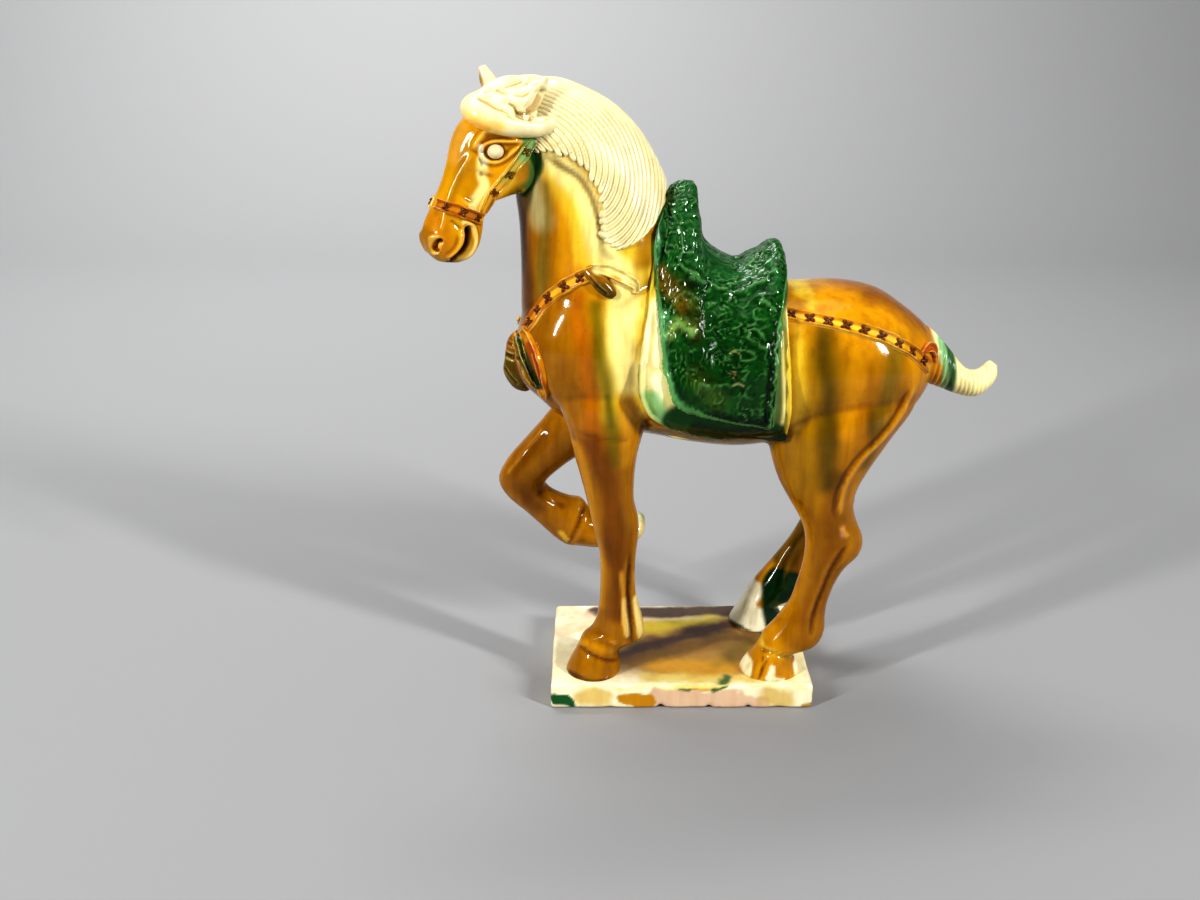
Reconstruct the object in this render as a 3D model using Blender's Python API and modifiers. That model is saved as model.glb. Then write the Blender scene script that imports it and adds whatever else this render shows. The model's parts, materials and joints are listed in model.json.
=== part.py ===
"""A saddled ceramic horse standing on a rectangular plinth, cast and fired as one solid.

The horse faces -X and its left side faces -Y. The origin is the middle of the plinth's underside.
The figure is a free form: its tables are in units of its own height, which is 239 units from the
soles of the hooves to the top of the mane. Heights in the tables start at the soles.
"""

import math

import bmesh
import bpy
from mathutils import Matrix, Vector
from mathutils.bvhtree import BVHTree

# Driving dimensions, in metres
FIGURE_HEIGHT = 0.239
PLINTH_THICKNESS = 0.011
PLINTH_FRONT_MARGIN = 0.0060
PLINTH_REAR_MARGIN = 0.0040
PLINTH_SIDE_MARGIN = 0.0025
PLINTH_EDGE_ROUND = 0.0012
HOOF_SEAT_DEPTH = 0.0015
MANE_RELIEF = 0.0026
MANE_GROOVE = 0.0013
BLANKET_RELIEF = 0.0012
COVER_RELIEF = 0.0030
STRAP_WIDTH = 0.0054
STRAP_RELIEF = 0.0015
BOSS_SIZE = 0.0036
BOSS_RELIEF = 0.0024
HALTER_WIDTH = 0.0044
HALTER_RELIEF = 0.0013
HEAD_TURN = math.radians(30)

UNITS_TALL = 239
U = FIGURE_HEIGHT / UNITS_TALL
POLL_X = -60

# How finely the form is meshed, in units
CAST_VOXEL = 1.0
SURFACE_TRIANGLES = 5900
RING_SIDES = 28
STRAP_SIDES = 6
BALL_SIDES = 8
STATION_STEP_COUNT = 4
TRIM_STEP_COUNT = 2
MANE_STEP_COUNT = 12
WELD_WITHIN = 0.0001
NEARLY_ZERO = 0.000000001
BEYOND_THE_HORSE = 60

# Stations: one outline point, the opposite outline point, half-width, side offset, narrowing at the first
TRUNK = [
    (-68.0, 136, -67.3, 124, 8, 0, 0),
    (-64.8, 147, -63.6, 119, 17, 0, 0),
    (-61.0, 157, -58.0, 114.5, 24, 0, 0),
    (-51.0, 168, -50.0, 107, 30, 0, 0),
    (-36.0, 175, -38.0, 100.5, 33, 0, 0.03),
    (-17.0, 175, -16.0, 99.5, 34, 0, 0.08),
    (2.0, 167, 3.0, 96, 34.5, 0, 0.06),
    (22.0, 161, 22.0, 94.6, 35, 0, 0.03),
    (43.0, 160.6, 42.0, 97.5, 34.5, 0, 0),
    (60.0, 161.0, 60.0, 100, 34, 0, 0),
    (75.0, 158.0, 75.0, 102, 31.5, 0, 0),
    (87.0, 150.4, 87.0, 107, 25.5, 0, 0),
    (95.0, 143.6, 94.0, 115, 17, 0, 0),
    (98.5, 138.4, 98.0, 123, 8, 0, 0),
]
NECK = [
    (-65.6, 212, -62.0, 235.2, 7, 0, 0),
    (-66.6, 203, -51.0, 236.0, 12.5, 0, 0),
    (-65.9, 194, -40.5, 232.6, 15, 0, 0),
    (-64.8, 184, -29.9, 226.8, 17, 0, 0),
    (-64.5, 173, -20.7, 218.0, 19, 0, 0),
    (-64.5, 161, -13.8, 207.0, 21.5, 0, 0),
    (-64.6, 149, -8.6, 195.0, 25, 0, 0),
    (-63.0, 136, -6.0, 183.0, 28, 0, 0),
    (-55.0, 124, -9.0, 169.0, 29, 0, 0),
]
HEAD = [
    (16.0, 232.6, -4.0, 233.0, 6, 0, 0),
    (22.5, 227.6, -6.0, 228.0, 12.5, 0, 0.10),
    (29.0, 221.8, -5.5, 219.5, 14.2, 0, 0.16),
    (32.2, 215.8, -4.0, 210.5, 14.2, 0, 0.20),
    (34.0, 209.4, -2.0, 203.0, 13.4, 0, 0.24),
    (36.0, 203.5, 3.0, 198.0, 12.2, 0, 0.26),
    (38.5, 198.0, 11.5, 196.0, 10.8, 0, 0.24),
    (41.0, 193.3, 19.0, 194.0, 9.8, 0, 0.18),
    (43.7, 188.3, 21.6, 189.2, 9.4, 0, 0.10),
    (45.2, 183.5, 22.6, 183.8, 9.6, 0, 0.04),
    (44.8, 179.5, 24.2, 178.6, 9.4, 0, 0),
    (42.8, 176.0, 27.4, 174.4, 7.8, 0, 0),
    (40.0, 173.4, 31.4, 172.6, 4.5, 0, 0),
]
NEAR_FORE = [
    (-50.0, 134, -16.0, 134, 9, -18, 0),
    (-51.0, 121, -13.0, 119, 12.5, -19, 0),
    (-46.5, 107, -16.5, 106, 12.2, -20, 0),
    (-43.8, 96, -19.0, 96, 11.0, -21, 0),
    (-41.2, 86, -20.0, 86, 9.8, -21, 0),
    (-39.0, 77, -20.0, 77, 9.2, -21, 0),
    (-37.4, 69, -18.2, 69, 9.0, -21, 0),
    (-35.8, 62, -18.0, 62, 8.6, -21, 0),
    (-34.2, 55, -18.8, 55, 7.4, -21, 0),
    (-33.6, 47, -19.3, 47, 6.8, -21, 0),
    (-33.7, 38, -19.2, 38, 6.6, -21, 0),
    (-34.2, 30, -17.6, 30, 7.2, -21, 0),
    (-35.4, 23.5, -15.6, 22.0, 8.4, -21, 0),
    (-38.0, 18.5, -16.2, 15.5, 8.6, -21, 0),
    (-41.0, 16.0, -24.0, 11.5, 8.8, -21, 0),
    (-43.0, 11.0, -26.0, 8.0, 9.8, -21, 0),
    (-46.4, 4.0, -25.2, 3.0, 11.2, -21, 0),
    (-48.0, 0.0, -25.0, 0.0, 11.8, -21, 0),
]
RAISED_FORE = [
    (-44.0, 122, -20.0, 106, 9, 17, 0),
    (-50.0, 108.5, -29.5, 94, 11.5, 18, 0),
    (-57.0, 98.5, -39.0, 84, 10.5, 18, 0),
    (-65.2, 88.8, -48.0, 77.5, 9.6, 18, 0),
    (-73.4, 79.0, -55.0, 71.5, 9.4, 18, 0),
    (-77.2, 70.4, -57.2, 68.5, 9.4, 18, 0),
    (-73.9, 62.8, -55.0, 65.5, 8.6, 18, 0),
    (-66.0, 55.2, -51.0, 63.4, 7.4, 18, 0),
    (-59.0, 48.2, -46.0, 61.8, 7.0, 18, 0),
    (-53.0, 42.4, -41.8, 61.2, 7.8, 18, 0),
    (-48.0, 39.4, -38.8, 57.2, 8.4, 18, 0),
    (-42.0, 39.0, -35.0, 52.8, 8.0, 18, 0),
    (-36.0, 38.4, -31.0, 52.4, 8.8, 18, 0),
    (-24.0, 39.6, -21.0, 53.6, 10.0, 18, 0),
    (-17.5, 42.4, -15.2, 53.0, 9.0, 18, 0),
    (-14.8, 45.6, -13.8, 50.0, 5.0, 18, 0),
]
NEAR_HIND = [
    (34.0, 127, 90.0, 131, 13, -14, 0),
    (32.5, 113, 90.0, 117, 17, -16, 0),
    (33.2, 99, 81.0, 103, 16, -18, 0),
    (36.6, 87, 74.5, 93, 13.5, -19.5, 0),
    (41.0, 78.5, 69.5, 84, 11.5, -20.5, 0),
    (45.2, 71.5, 67.6, 76, 10.2, -21, 0),
    (47.8, 66, 69.0, 69, 9.4, -21, 0),
    (49.2, 60, 72.4, 60.5, 9.2, -21, 0),
    (49.2, 53, 71.6, 54.0, 8.6, -21, 0),
    (48.2, 46, 66.4, 48.0, 7.6, -21, 0),
    (46.4, 39, 62.8, 41.0, 6.8, -21, 0),
    (44.4, 32, 60.4, 33.5, 6.6, -21, 0),
    (40.6, 25.5, 59.4, 26.5, 7.2, -21, 0),
    (36.6, 20, 59.4, 18.0, 8.4, -21, 0),
    (33.6, 16.5, 56.0, 11.5, 8.8, -21, 0),
    (33.2, 13.5, 47.0, 8.8, 9.0, -21, 0),
    (31.0, 10.0, 47.0, 7.0, 9.8, -21, 0),
    (26.4, 3.5, 49.2, 2.5, 11.2, -21, 0),
    (24.6, 0.0, 50.0, 0.0, 11.8, -21, 0),
]
FAR_HIND = [
    (34.0, 127, 90.0, 131, 13, 14, 0),
    (32.5, 113, 90.0, 117, 17, 16, 0),
    (35.0, 99, 82.0, 103, 16, 18, 0),
    (40.0, 87, 76.5, 93, 13.5, 19.5, 0),
    (46.0, 78.5, 73.0, 84, 11.5, 20.5, 0),
    (51.0, 71.5, 72.6, 76, 10.2, 21, 0),
    (54.4, 65.5, 74.0, 69, 9.4, 21, 0),
    (56.2, 59.5, 77.0, 60.5, 9.2, 21, 0),
    (55.4, 53, 75.4, 53.5, 8.6, 21, 0),
    (52.6, 46.5, 70.5, 46.5, 7.6, 21, 0),
    (49.0, 40, 65.5, 39.0, 6.8, 21, 0),
    (44.6, 33.5, 61.5, 31.5, 6.8, 21, 0),
    (39.8, 27, 57.5, 24.0, 7.4, 21, 0),
    (36.4, 22.5, 56.5, 16.5, 8.6, 21, 0),
    (33.6, 18.5, 52.0, 11.0, 8.8, 21, 0),
    (31.6, 14.5, 46.0, 8.6, 9.2, 21, 0),
    (29.2, 9.5, 46.5, 6.0, 10.0, 21, 0),
    (25.2, 3.0, 48.6, 2.0, 11.2, 21, 0),
    (23.8, 0.0, 49.0, 0.0, 11.8, 21, 0),
]
TAIL = [
    (90.0, 146, 88.0, 118, 9, 0, 0),
    (97.5, 141.8, 94.5, 120, 9, 0, 0),
    (103.0, 136.5, 99.5, 118.6, 8.2, 0, 0),
    (107.4, 131.5, 104.5, 116.8, 7.4, 0, 0),
    (110.6, 127.6, 109.0, 115.0, 6.6, 0, 0),
    (113.6, 125.0, 114.5, 113.6, 6.0, 0, 0),
    (116.8, 124.4, 119.0, 114.0, 5.6, 0, 0),
    (119.6, 125.6, 123.2, 117.6, 5.2, 0, 0),
    (121.2, 127.4, 125.6, 122.0, 4.4, 0, 0),
    (122.4, 128.4, 125.4, 126.6, 2.6, 0, 0),
]
SADDLE = [
    (-24.0, 173.3, -24.0, 90, 34.3, 0, 0.24),
    (-16.0, 175.3, -18.0, 88, 34.8, 0, 0.28),
    (-12.5, 183.3, -13.0, 79, 35.3, 0, 0.34),
    (-9.0, 191.3, -9.0, 71, 35.5, 0, 0.42),
    (-5.0, 195.3, -5.0, 67, 35.7, 0, 0.45),
    (-1.0, 196.5, -1.0, 66, 35.8, 0, 0.46),
    (2.6, 194.9, 2.6, 67, 35.9, 0, 0.45),
    (4.2, 185.3, 4.2, 77, 36.0, 0, 0.38),
    (6.0, 175.3, 6.0, 86, 36.0, 0, 0.26),
    (11.0, 170.3, 11.0, 91, 36.1, 0, 0.12),
    (19.0, 167.1, 19.0, 92, 36.1, 0, 0.06),
    (27.0, 169.9, 27.0, 91, 36.1, 0, 0.10),
    (33.0, 173.9, 33.0, 89, 36.1, 0, 0.20),
    (36.5, 171.8, 36.5, 90, 35.8, 0, 0.20),
    (38.4, 163.3, 38.4, 92, 35.6, 0, 0.10),
    (42.0, 158.3, 42.0, 92, 35.3, 0, 0.02),
    (46.0, 157.3, 46.0, 92, 34.9, 0, 0.0),
]
FLAP_SQUARENESS = 0.70
JAW_SQUARENESS = 0.72
STRAP_SQUARENESS = 0.45

# Outlines seen from the side: length along the horse, height
BLANKET_OUTLINE = [
    (-14, 205), (-13, 184), (-14.6, 172), (-17.6, 152), (-20.2, 133), (-19.6, 124), (-15.6, 115.6),
    (-7.5, 110.6), (4, 107.6), (18, 106), (34, 105.6), (38.8, 107.6), (39.2, 118), (37.8, 142),
    (37.0, 158), (41, 170), (41, 205),
]
COVER_OUTLINE = [
    (-12.6, 205), (-12.4, 184), (-12.6, 172), (-11.4, 157), (-9.9, 142), (-7.2, 126), (-3.2, 119),
    (5, 115.8), (16, 113.2), (31.4, 111.6), (32.8, 114), (33.2, 132), (33.8, 150), (36.2, 162),
    (39.4, 172), (40, 205),
]
MANE_OUTLINE = [
    (-68, 250), (-60, 237), (-54.5, 231), (-53.4, 224), (-52.8, 213), (-45.8, 208.4), (-38.6, 201),
    (-34.4, 193), (-32.7, 185), (-31.2, 177), (-28.4, 172.6), (-24.6, 175.4), (-18, 181.4),
    (-10, 184), (4, 184), (4, 250),
]
MANE_LOCKS = 12
MANE_SWEEP = 0.30

# Hair on the head: forward of the poll, height, side, radius
POLL_HAIR = [(15, 231.6, 0, 4.4), (8, 233.2, 0, 5.0), (-2, 233.6, 0, 5.2), (-9, 231.0, 0, 5.0)]
NEAR_LOCK = [
    (4, 234.0, 2.0, 4.0),
    (13, 233.6, 3.0, 5.0),
    (21, 231.0, 4.4, 5.2),
    (25.6, 227.6, 6.4, 4.6),
    (24.6, 224.0, 10.2, 4.0),
    (19.5, 221.6, 13.2, 3.6),
    (12, 220.2, 14.8, 3.3),
    (5, 219.8, 15.6, 3.2),
    (-2, 220.8, 15.6, 3.0),
]
FAR_LOCK_SETBACK = 5.5
NEAR_EAR = [
    (12.5, 225.0, 11.4, 4.4),
    (9.0, 229.4, 12.8, 5.2),
    (4.4, 234.0, 13.8, 3.9),
    (-0.4, 238.8, 14.2, 1.2),
]
FAR_EAR = [
    (8, 228, -10.5, 4.6),
    (9.4, 232.6, -11.8, 4.4),
    (11, 237.0, -12.6, 3.4),
    (12.4, 241.4, -13.0, 1.4),
]
EAR_FLATNESS = 0.55
EAR_HOLLOW = 0.62
EAR_HOLLOW_OUT = 0.8
EYE_PLACE = (20.0, 213.0, 12.6)
EYE_RADIUS = 3.4
BROW = [(26.0, 215.4, 11.2, 1.6), (20.0, 218.0, 13.4, 1.9), (12.0, 216.4, 14.2, 1.6)]
LOWER_LID = [(25.2, 212.6, 11.4, 1.2), (20.4, 209.0, 13.2, 1.3), (14.4, 211.8, 14.0, 1.1)]
MOUTH = [(36.8, 171.6, 1.8), (33.4, 178.0, 2.2), (29.4, 184.8, 1.8)]
MOUTH_DEPTH = 5.5
NOSTRIL = (43.0, 181.6, 7.6)
NOSTRIL_RADIUS = 1.9

# Harness bands and sinews, as routes seen from the side: length along the horse, height
BREAST_BAND = [
    (-64, 143), (-58.5, 151.5), (-54.5, 157.5), (-48, 163.5),
    (-39, 168.6), (-31, 168), (-24, 163.6), (-15, 159),
]
CRUPPER_BAND = [(36, 153.4), (46, 151.8), (56, 150.4), (66, 148), (76, 144.4), (86, 138.2), (93, 131.5)]
HAMSTRING = [(85, 121), (79.5, 110), (73.5, 101), (68.6, 93), (65.4, 85), (64, 78)]
NOSE_BAND = [(44.2, 196.0), (38.5, 194.4), (31.5, 191.8), (24.4, 188.6)]
CHEEK_BAND = [(25.0, 191.0), (21.6, 198.4), (16, 205), (9.6, 213), (6.2, 217)]
BREAST_BOSSES = 4
CRUPPER_BOSSES = 7
FIRST_BOSS_SHARE = 0.7

# The knot on the chest, with length, height, side and radius, and the harness leaves seen from the side
CHEST_KNOT = [
    (-64.5, 139, 0, 2.5),
    (-66.5, 133, 0, 4.6),
    (-66.3, 125.5, 0, 6.2),
    (-65, 120.5, 0, 4.6),
    (-62.5, 117, 0, 2.0),
]
SHOULDER_LEAF = [(-40, 171.0, 2.0), (-35, 168.0, 3.0), (-29.5, 163.2, 2.9), (-26.6, 160.4, 1.2)]
CHEST_LEAF = [(-64.5, 140, 2.0), (-62.5, 132, 3.2), (-60, 123.5, 3.2), (-57.5, 117, 1.3)]

FIGURE = bpy.data.collections.new("ceramic_horse_figure")
GUIDES = bpy.data.collections.new("modelling_guides")
HEAD_FRAME = Matrix.Translation((POLL_X, 0, 0)) @ Matrix.Rotation(HEAD_TURN + math.pi, 4, "Z")


def clear_scene():
    """Starts from an empty scene."""
    for old in list(bpy.data.objects):
        bpy.data.objects.remove(old, do_unlink=True)
    for collection in (FIGURE, GUIDES):
        bpy.context.scene.collection.children.link(collection)
    GUIDES.hide_render = True


def between(a, b, c, d, t):
    """The Catmull-Rom value between b and c."""
    bend = (2 * a - 5 * b + 4 * c - d) * t * t + (3 * b - a - 3 * c + d) * t ** 3
    return 0.5 * (2 * b + (c - a) * t + bend)


def smooth_rows(rows, steps=STATION_STEP_COUNT):
    """The stations with smoothly varying rows added between them."""
    found = []
    for i in range(len(rows) - 1):
        a, b, c, d = rows[max(i - 1, 0)], rows[i], rows[i + 1], rows[min(i + 2, len(rows) - 1)]
        for step in range(steps):
            t = step / steps
            found.append([between(*values, t) for values in zip(a, b, c, d)])
    found.append(list(rows[-1]))
    return found


def mesh_object(name, mesh_builder):
    """A new object whose mesh is what the bmesh builder makes, with its faces pointing out."""
    mesh = bpy.data.meshes.new(name)
    work = bmesh.new()
    mesh_builder(work)
    bmesh.ops.recalc_face_normals(work, faces=work.faces)
    work.to_mesh(mesh)
    work.free()
    made = bpy.data.objects.new(name, mesh)
    GUIDES.objects.link(made)
    return made


def skin(work, rings):
    """Joins closed rings of points into a tube with flat ends."""
    loops = [[work.verts.new(point) for point in ring] for ring in rings]
    count = len(rings[0])
    for near, far in zip(loops, loops[1:]):
        for k in range(count):
            work.faces.new((near[k], near[(k + 1) % count], far[(k + 1) % count], far[k]))
    work.faces.new(loops[0])
    work.faces.new(loops[-1])


def section(row, swell, relief, along, squareness):
    """One closed ring round the form at a station, swollen outwards and squarer in its lower half."""
    px, pz, qx, qz, half_width, side, narrowing = row
    middle = Vector(((px + qx) / 2, (pz + qz) / 2))
    reach = Vector(((px - qx) / 2, (pz - qz) / 2))
    count = RING_SIDES * (2 if relief else 1)
    points = []
    for k in range(count):
        angle = 2 * math.pi * k / count
        up, out = math.cos(angle), math.sin(angle)
        if up < 0:
            up, out = -abs(up) ** squareness, math.copysign(abs(out) ** squareness, out)
        lift = swell + (relief(along, angle) if relief else 0.0)
        width = (half_width + lift) * (1 - narrowing * max(up, 0.0))
        flat = middle + reach * (1 + lift / reach.length) * up
        points.append((flat.x, side + width * out, flat.y))
    return points


def loft(name, rows, swell=0.0, relief=None, squareness=1.0, steps=STATION_STEP_COUNT):
    """A closed form through a table of stations."""
    fine = smooth_rows(rows, steps)
    rings = [section(row, swell, relief, i / (len(fine) - 1), squareness) for i, row in enumerate(fine)]
    return mesh_object(name, lambda work: skin(work, rings))


def leg(name, rows):
    """A standing leg, whose sole is sunk into the plinth."""
    px, pz, qx, qz, half_width, side, narrowing = rows[-1]
    depth = HOOF_SEAT_DEPTH / U
    return loft(name, rows + [(px, pz - depth, qx, qz - depth, half_width, side, narrowing)])


def rounded_tube(name, route, steps=STATION_STEP_COUNT):
    """A round tube along points (x, y, z, radius)."""
    curve = bpy.data.curves.new(name, "CURVE")
    curve.dimensions = "3D"
    curve.bevel_depth = 1.0
    curve.bevel_resolution = 2
    curve.use_fill_caps = True
    spline = curve.splines.new("POLY")
    fine = smooth_rows(route, steps)
    spline.points.add(len(fine) - 1)
    for point, (x, y, z, radius) in zip(spline.points, fine):
        point.co = (x, y, z, 1)
        point.radius = radius
    drawn = bpy.data.objects.new(name + "_line", curve)
    GUIDES.objects.link(drawn)
    return solid_copy(drawn, name)


def prism(name, outline):
    """A flat side-view outline, thickened across the horse."""
    curve = bpy.data.curves.new(name, "CURVE")
    curve.dimensions = "2D"
    curve.fill_mode = "BOTH"
    curve.extrude = BEYOND_THE_HORSE
    spline = curve.splines.new("POLY")
    spline.use_cyclic_u = True
    spline.points.add(len(outline) - 1)
    for point, (x, z) in zip(spline.points, outline):
        point.co = (x, z, 0, 1)
    drawn = bpy.data.objects.new(name + "_line", curve)
    drawn.rotation_euler.x = math.pi / 2
    GUIDES.objects.link(drawn)
    return solid_copy(drawn, name)


def solid_copy(drawn, name):
    """The evaluated object as a welded mesh, in place of the curve."""
    bpy.context.view_layer.update()
    evaluated = drawn.evaluated_get(bpy.context.evaluated_depsgraph_get())
    mesh = bpy.data.meshes.new_from_object(evaluated)
    mesh.transform(drawn.matrix_world)
    work = bmesh.new()
    work.from_mesh(mesh)
    bmesh.ops.remove_doubles(work, verts=work.verts, dist=WELD_WITHIN)
    bmesh.ops.recalc_face_normals(work, faces=work.faces)
    work.to_mesh(mesh)
    work.free()
    bpy.data.objects.remove(drawn, do_unlink=True)
    made = bpy.data.objects.new(name, mesh)
    GUIDES.objects.link(made)
    return made


def apply_modifiers(obj):
    """Bakes the modifiers of an object into its mesh."""
    bpy.context.view_layer.update()
    evaluated = obj.evaluated_get(bpy.context.evaluated_depsgraph_get())
    mesh = bpy.data.meshes.new_from_object(evaluated)
    obj.modifiers.clear()
    obj.data = mesh
    return obj


def combine(body, tool, operation):
    """Joins, cuts or crosses two solids exactly, and removes the tool."""
    boolean = body.modifiers.new("combine", "BOOLEAN")
    boolean.operation = operation
    boolean.object = tool
    apply_modifiers(body)
    bpy.data.objects.remove(tool, do_unlink=True)
    return body


def on_head(obj):
    """Carries a piece from the head's own frame, where it faces +X, to its turned place on the neck."""
    obj.data.transform(HEAD_FRAME)
    return obj


def head_tube(name, route, steps=STATION_STEP_COUNT):
    """A tube in the head's frame, from points (forward, height, side, radius) with the near side above 0."""
    points = [(forward, side, height, radius) for forward, height, side, radius in route]
    return rounded_tube(name, points, steps)


def other_side(route, setback=0.0):
    """The same route on the far side of the head, set back from the face."""
    return [(forward - setback, height, -side, radius) for forward, height, side, radius in route]


def ear(name, route):
    """A leaf-shaped ear, hollowed on the side that faces out."""
    side = math.copysign(1, route[0][2])
    hollow_route = [
        (x, z, y + side * radius * EAR_HOLLOW_OUT, radius * EAR_HOLLOW) for x, z, y, radius in route
    ]
    leaf = combine(head_tube(name, route), head_tube(name + "_hollow", hollow_route), "DIFFERENCE")
    middle = sum((v.co for v in leaf.data.vertices), Vector()) / len(leaf.data.vertices)
    squeeze = Matrix.Scale(EAR_FLATNESS, 4, Vector((0, 1, 0)))
    leaf.data.transform(Matrix.Translation(middle) @ squeeze @ Matrix.Translation(-middle))
    return on_head(leaf)


def ball(name, place, radius):
    """A small round form."""
    made = mesh_object(name, lambda work: bmesh.ops.create_uvsphere(
        work, u_segments=BALL_SIDES, v_segments=BALL_SIDES // 2 + 1, radius=radius))
    made.data.transform(Matrix.Translation(place))
    return made


def head_form():
    """The head with its nostrils and its half-open mouth cut in, in its own frame."""
    head = loft("head", HEAD, squareness=JAW_SQUARENESS)
    muzzle_half_width = max(row[4] for row in HEAD[-4:])
    deepen = Matrix.Scale(MOUTH_DEPTH / max(radius for _, _, radius in MOUTH), 4, Vector((0, 1, 0)))
    for side in (1, -1):
        forward, height, out = NOSTRIL
        combine(head, ball("nostril", (forward, side * out, height), NOSTRIL_RADIUS), "DIFFERENCE")
        mouth = head_tube("mouth", [(x, z, 0, radius) for x, z, radius in MOUTH])
        mouth.data.transform(Matrix.Translation((0, side * muzzle_half_width, 0)) @ deepen)
        combine(head, mouth, "DIFFERENCE")
    return head


def mane_relief(along, angle):
    """The combed locks: furrows that sweep back from the crest and then turn down."""
    down = (1 + math.cos(angle)) / 2
    phase = along + MANE_SWEEP * (1 - down) ** 2
    return MANE_GROOVE / U * math.cos(2 * math.pi * MANE_LOCKS * phase)


def surface_tree(objects):
    """A search tree over several solids, to lay bands on them."""
    work = bmesh.new()
    for obj in objects:
        work.from_mesh(obj.data)
    tree = BVHTree.FromBMesh(work)
    work.free()
    return tree


def lay(route, tree, side, frame=None):
    """Where a route seen from one side meets the surface, with the way out from the surface there."""
    frame = frame or Matrix.Identity(4)
    outward = (frame.to_3x3() @ Vector((0, side, 0))).normalized()
    laid = []
    for along, height, *rest in smooth_rows(route, TRIM_STEP_COUNT):
        start = frame @ Vector((along, side * BEYOND_THE_HORSE, height))
        place, normal, _, _ = tree.ray_cast(start, -outward)
        if place is not None:
            laid.append((place, normal if normal.dot(outward) > 0 else -normal, *rest))
    return laid


def square_round(sides, squareness):
    """The corners of a unit circle drawn towards a square."""
    turns = [2 * math.pi * k / sides for k in range(sides)]
    return [[math.copysign(abs(part) ** squareness, part) if abs(part) > NEARLY_ZERO else 0.0
             for part in (math.cos(turn), math.sin(turn))] for turn in turns]


def strap(name, laid, width, relief):
    """A flat strap with rounded edges, along places on the surface."""
    rings = []
    for i, (place, normal) in enumerate(laid):
        ahead = laid[min(i + 1, len(laid) - 1)][0] - laid[max(i - 1, 0)][0]
        across = ahead.cross(normal).normalized() * (width / 2 / U)
        lift = normal * (relief / U)
        corners = square_round(STRAP_SIDES, STRAP_SQUARENESS)
        rings.append([place + across * a + lift * b for a, b in corners])
    return mesh_object(name, lambda work: skin(work, rings))


def bosses(name, laid, count):
    """Small round bosses, evenly spaced along a strap."""
    made = []
    for k in range(count):
        place, normal = laid[round((k + FIRST_BOSS_SHARE) / count * (len(laid) - 1))][:2]
        boss = ball(name, (0, 0, 0), BOSS_SIZE / 2 / U)
        boss.data.transform(Matrix.Scale(BOSS_RELIEF / (BOSS_SIZE / 2), 4, Vector((0, 0, 1))))
        boss.data.transform(Matrix.Translation(place) @ normal.to_track_quat("Z", "Y").to_matrix().to_4x4())
        made.append(boss)
    return made


def leaf(name, laid):
    """A harness leaf that lies on the coat."""
    return rounded_tube(name, [(place.x, place.y, place.z, radius) for place, _, radius in laid], 1)


def body_forms():
    """The bare horse, each form closed, overlapping where they grow together."""
    trunk_and_neck = [loft("trunk", TRUNK), loft("neck", NECK), loft("tail", TAIL)]
    forelegs = [loft("raised_foreleg", RAISED_FORE), leg("near_foreleg", NEAR_FORE)]
    hind_legs = [leg("near_hind_leg", NEAR_HIND), leg("far_hind_leg", FAR_HIND)]
    return trunk_and_neck + forelegs + hind_legs


def dress_forms():
    """The mane, the saddle blanket and the saddle cover."""
    mane = loft("mane", NECK, MANE_RELIEF / U, mane_relief, steps=MANE_STEP_COUNT)
    combine(mane, prism("mane_shape", MANE_OUTLINE), "INTERSECT")
    blanket = loft("blanket", SADDLE, BLANKET_RELIEF / U, squareness=FLAP_SQUARENESS)
    combine(blanket, prism("blanket_shape", BLANKET_OUTLINE), "INTERSECT")
    cover = loft("cover", SADDLE, COVER_RELIEF / U, squareness=FLAP_SQUARENESS)
    combine(cover, prism("cover_shape", COVER_OUTLINE), "INTERSECT")
    return [mane, blanket, cover]


def hair_forms():
    """The forelock, the hair over the poll and the ears."""
    locks = [on_head(head_tube("poll_hair", POLL_HAIR)), on_head(head_tube("near_lock", NEAR_LOCK))]
    locks.append(on_head(head_tube("far_lock", other_side(NEAR_LOCK, FAR_LOCK_SETBACK))))
    return locks + [ear("near_ear", NEAR_EAR), ear("far_ear", FAR_EAR)]


def harness_forms(tree):
    """The straps, bosses and leaves on both sides of the body, and the knot on the chest."""
    knot_route = [(x, side, z, radius) for x, z, side, radius in CHEST_KNOT]
    forms = [rounded_tube("chest_knot", knot_route, TRIM_STEP_COUNT)]
    for side in (-1, 1):
        breast, crupper = lay(BREAST_BAND, tree, side), lay(CRUPPER_BAND, tree, side)
        forms.append(strap("breast_band", breast, STRAP_WIDTH, STRAP_RELIEF))
        forms.append(strap("crupper_band", crupper, STRAP_WIDTH, STRAP_RELIEF))
        forms += bosses("breast_boss", breast[:len(breast) // 2], BREAST_BOSSES)
        forms += bosses("crupper_boss", crupper, CRUPPER_BOSSES)
        forms.append(leaf("shoulder_leaf", lay(SHOULDER_LEAF, tree, side)))
        forms.append(leaf("chest_leaf", lay(CHEST_LEAF, tree, side)))
    return forms


def face_forms(tree):
    """The halter, the eyes and their lids."""
    forms = []
    for side in (1, -1):
        for name, route in (("nose_band", NOSE_BAND), ("cheek_band", CHEEK_BAND)):
            forms.append(strap(name, lay(route, tree, side, HEAD_FRAME), HALTER_WIDTH, HALTER_RELIEF))
        forward, height, out = EYE_PLACE
        forms.append(on_head(ball("eye", (forward, side * out, height), EYE_RADIUS)))
    for route in (BROW, LOWER_LID):
        forms.append(on_head(head_tube("near_lid", route, TRIM_STEP_COUNT)))
        forms.append(on_head(head_tube("far_lid", other_side(route), TRIM_STEP_COUNT)))
    return forms


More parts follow.
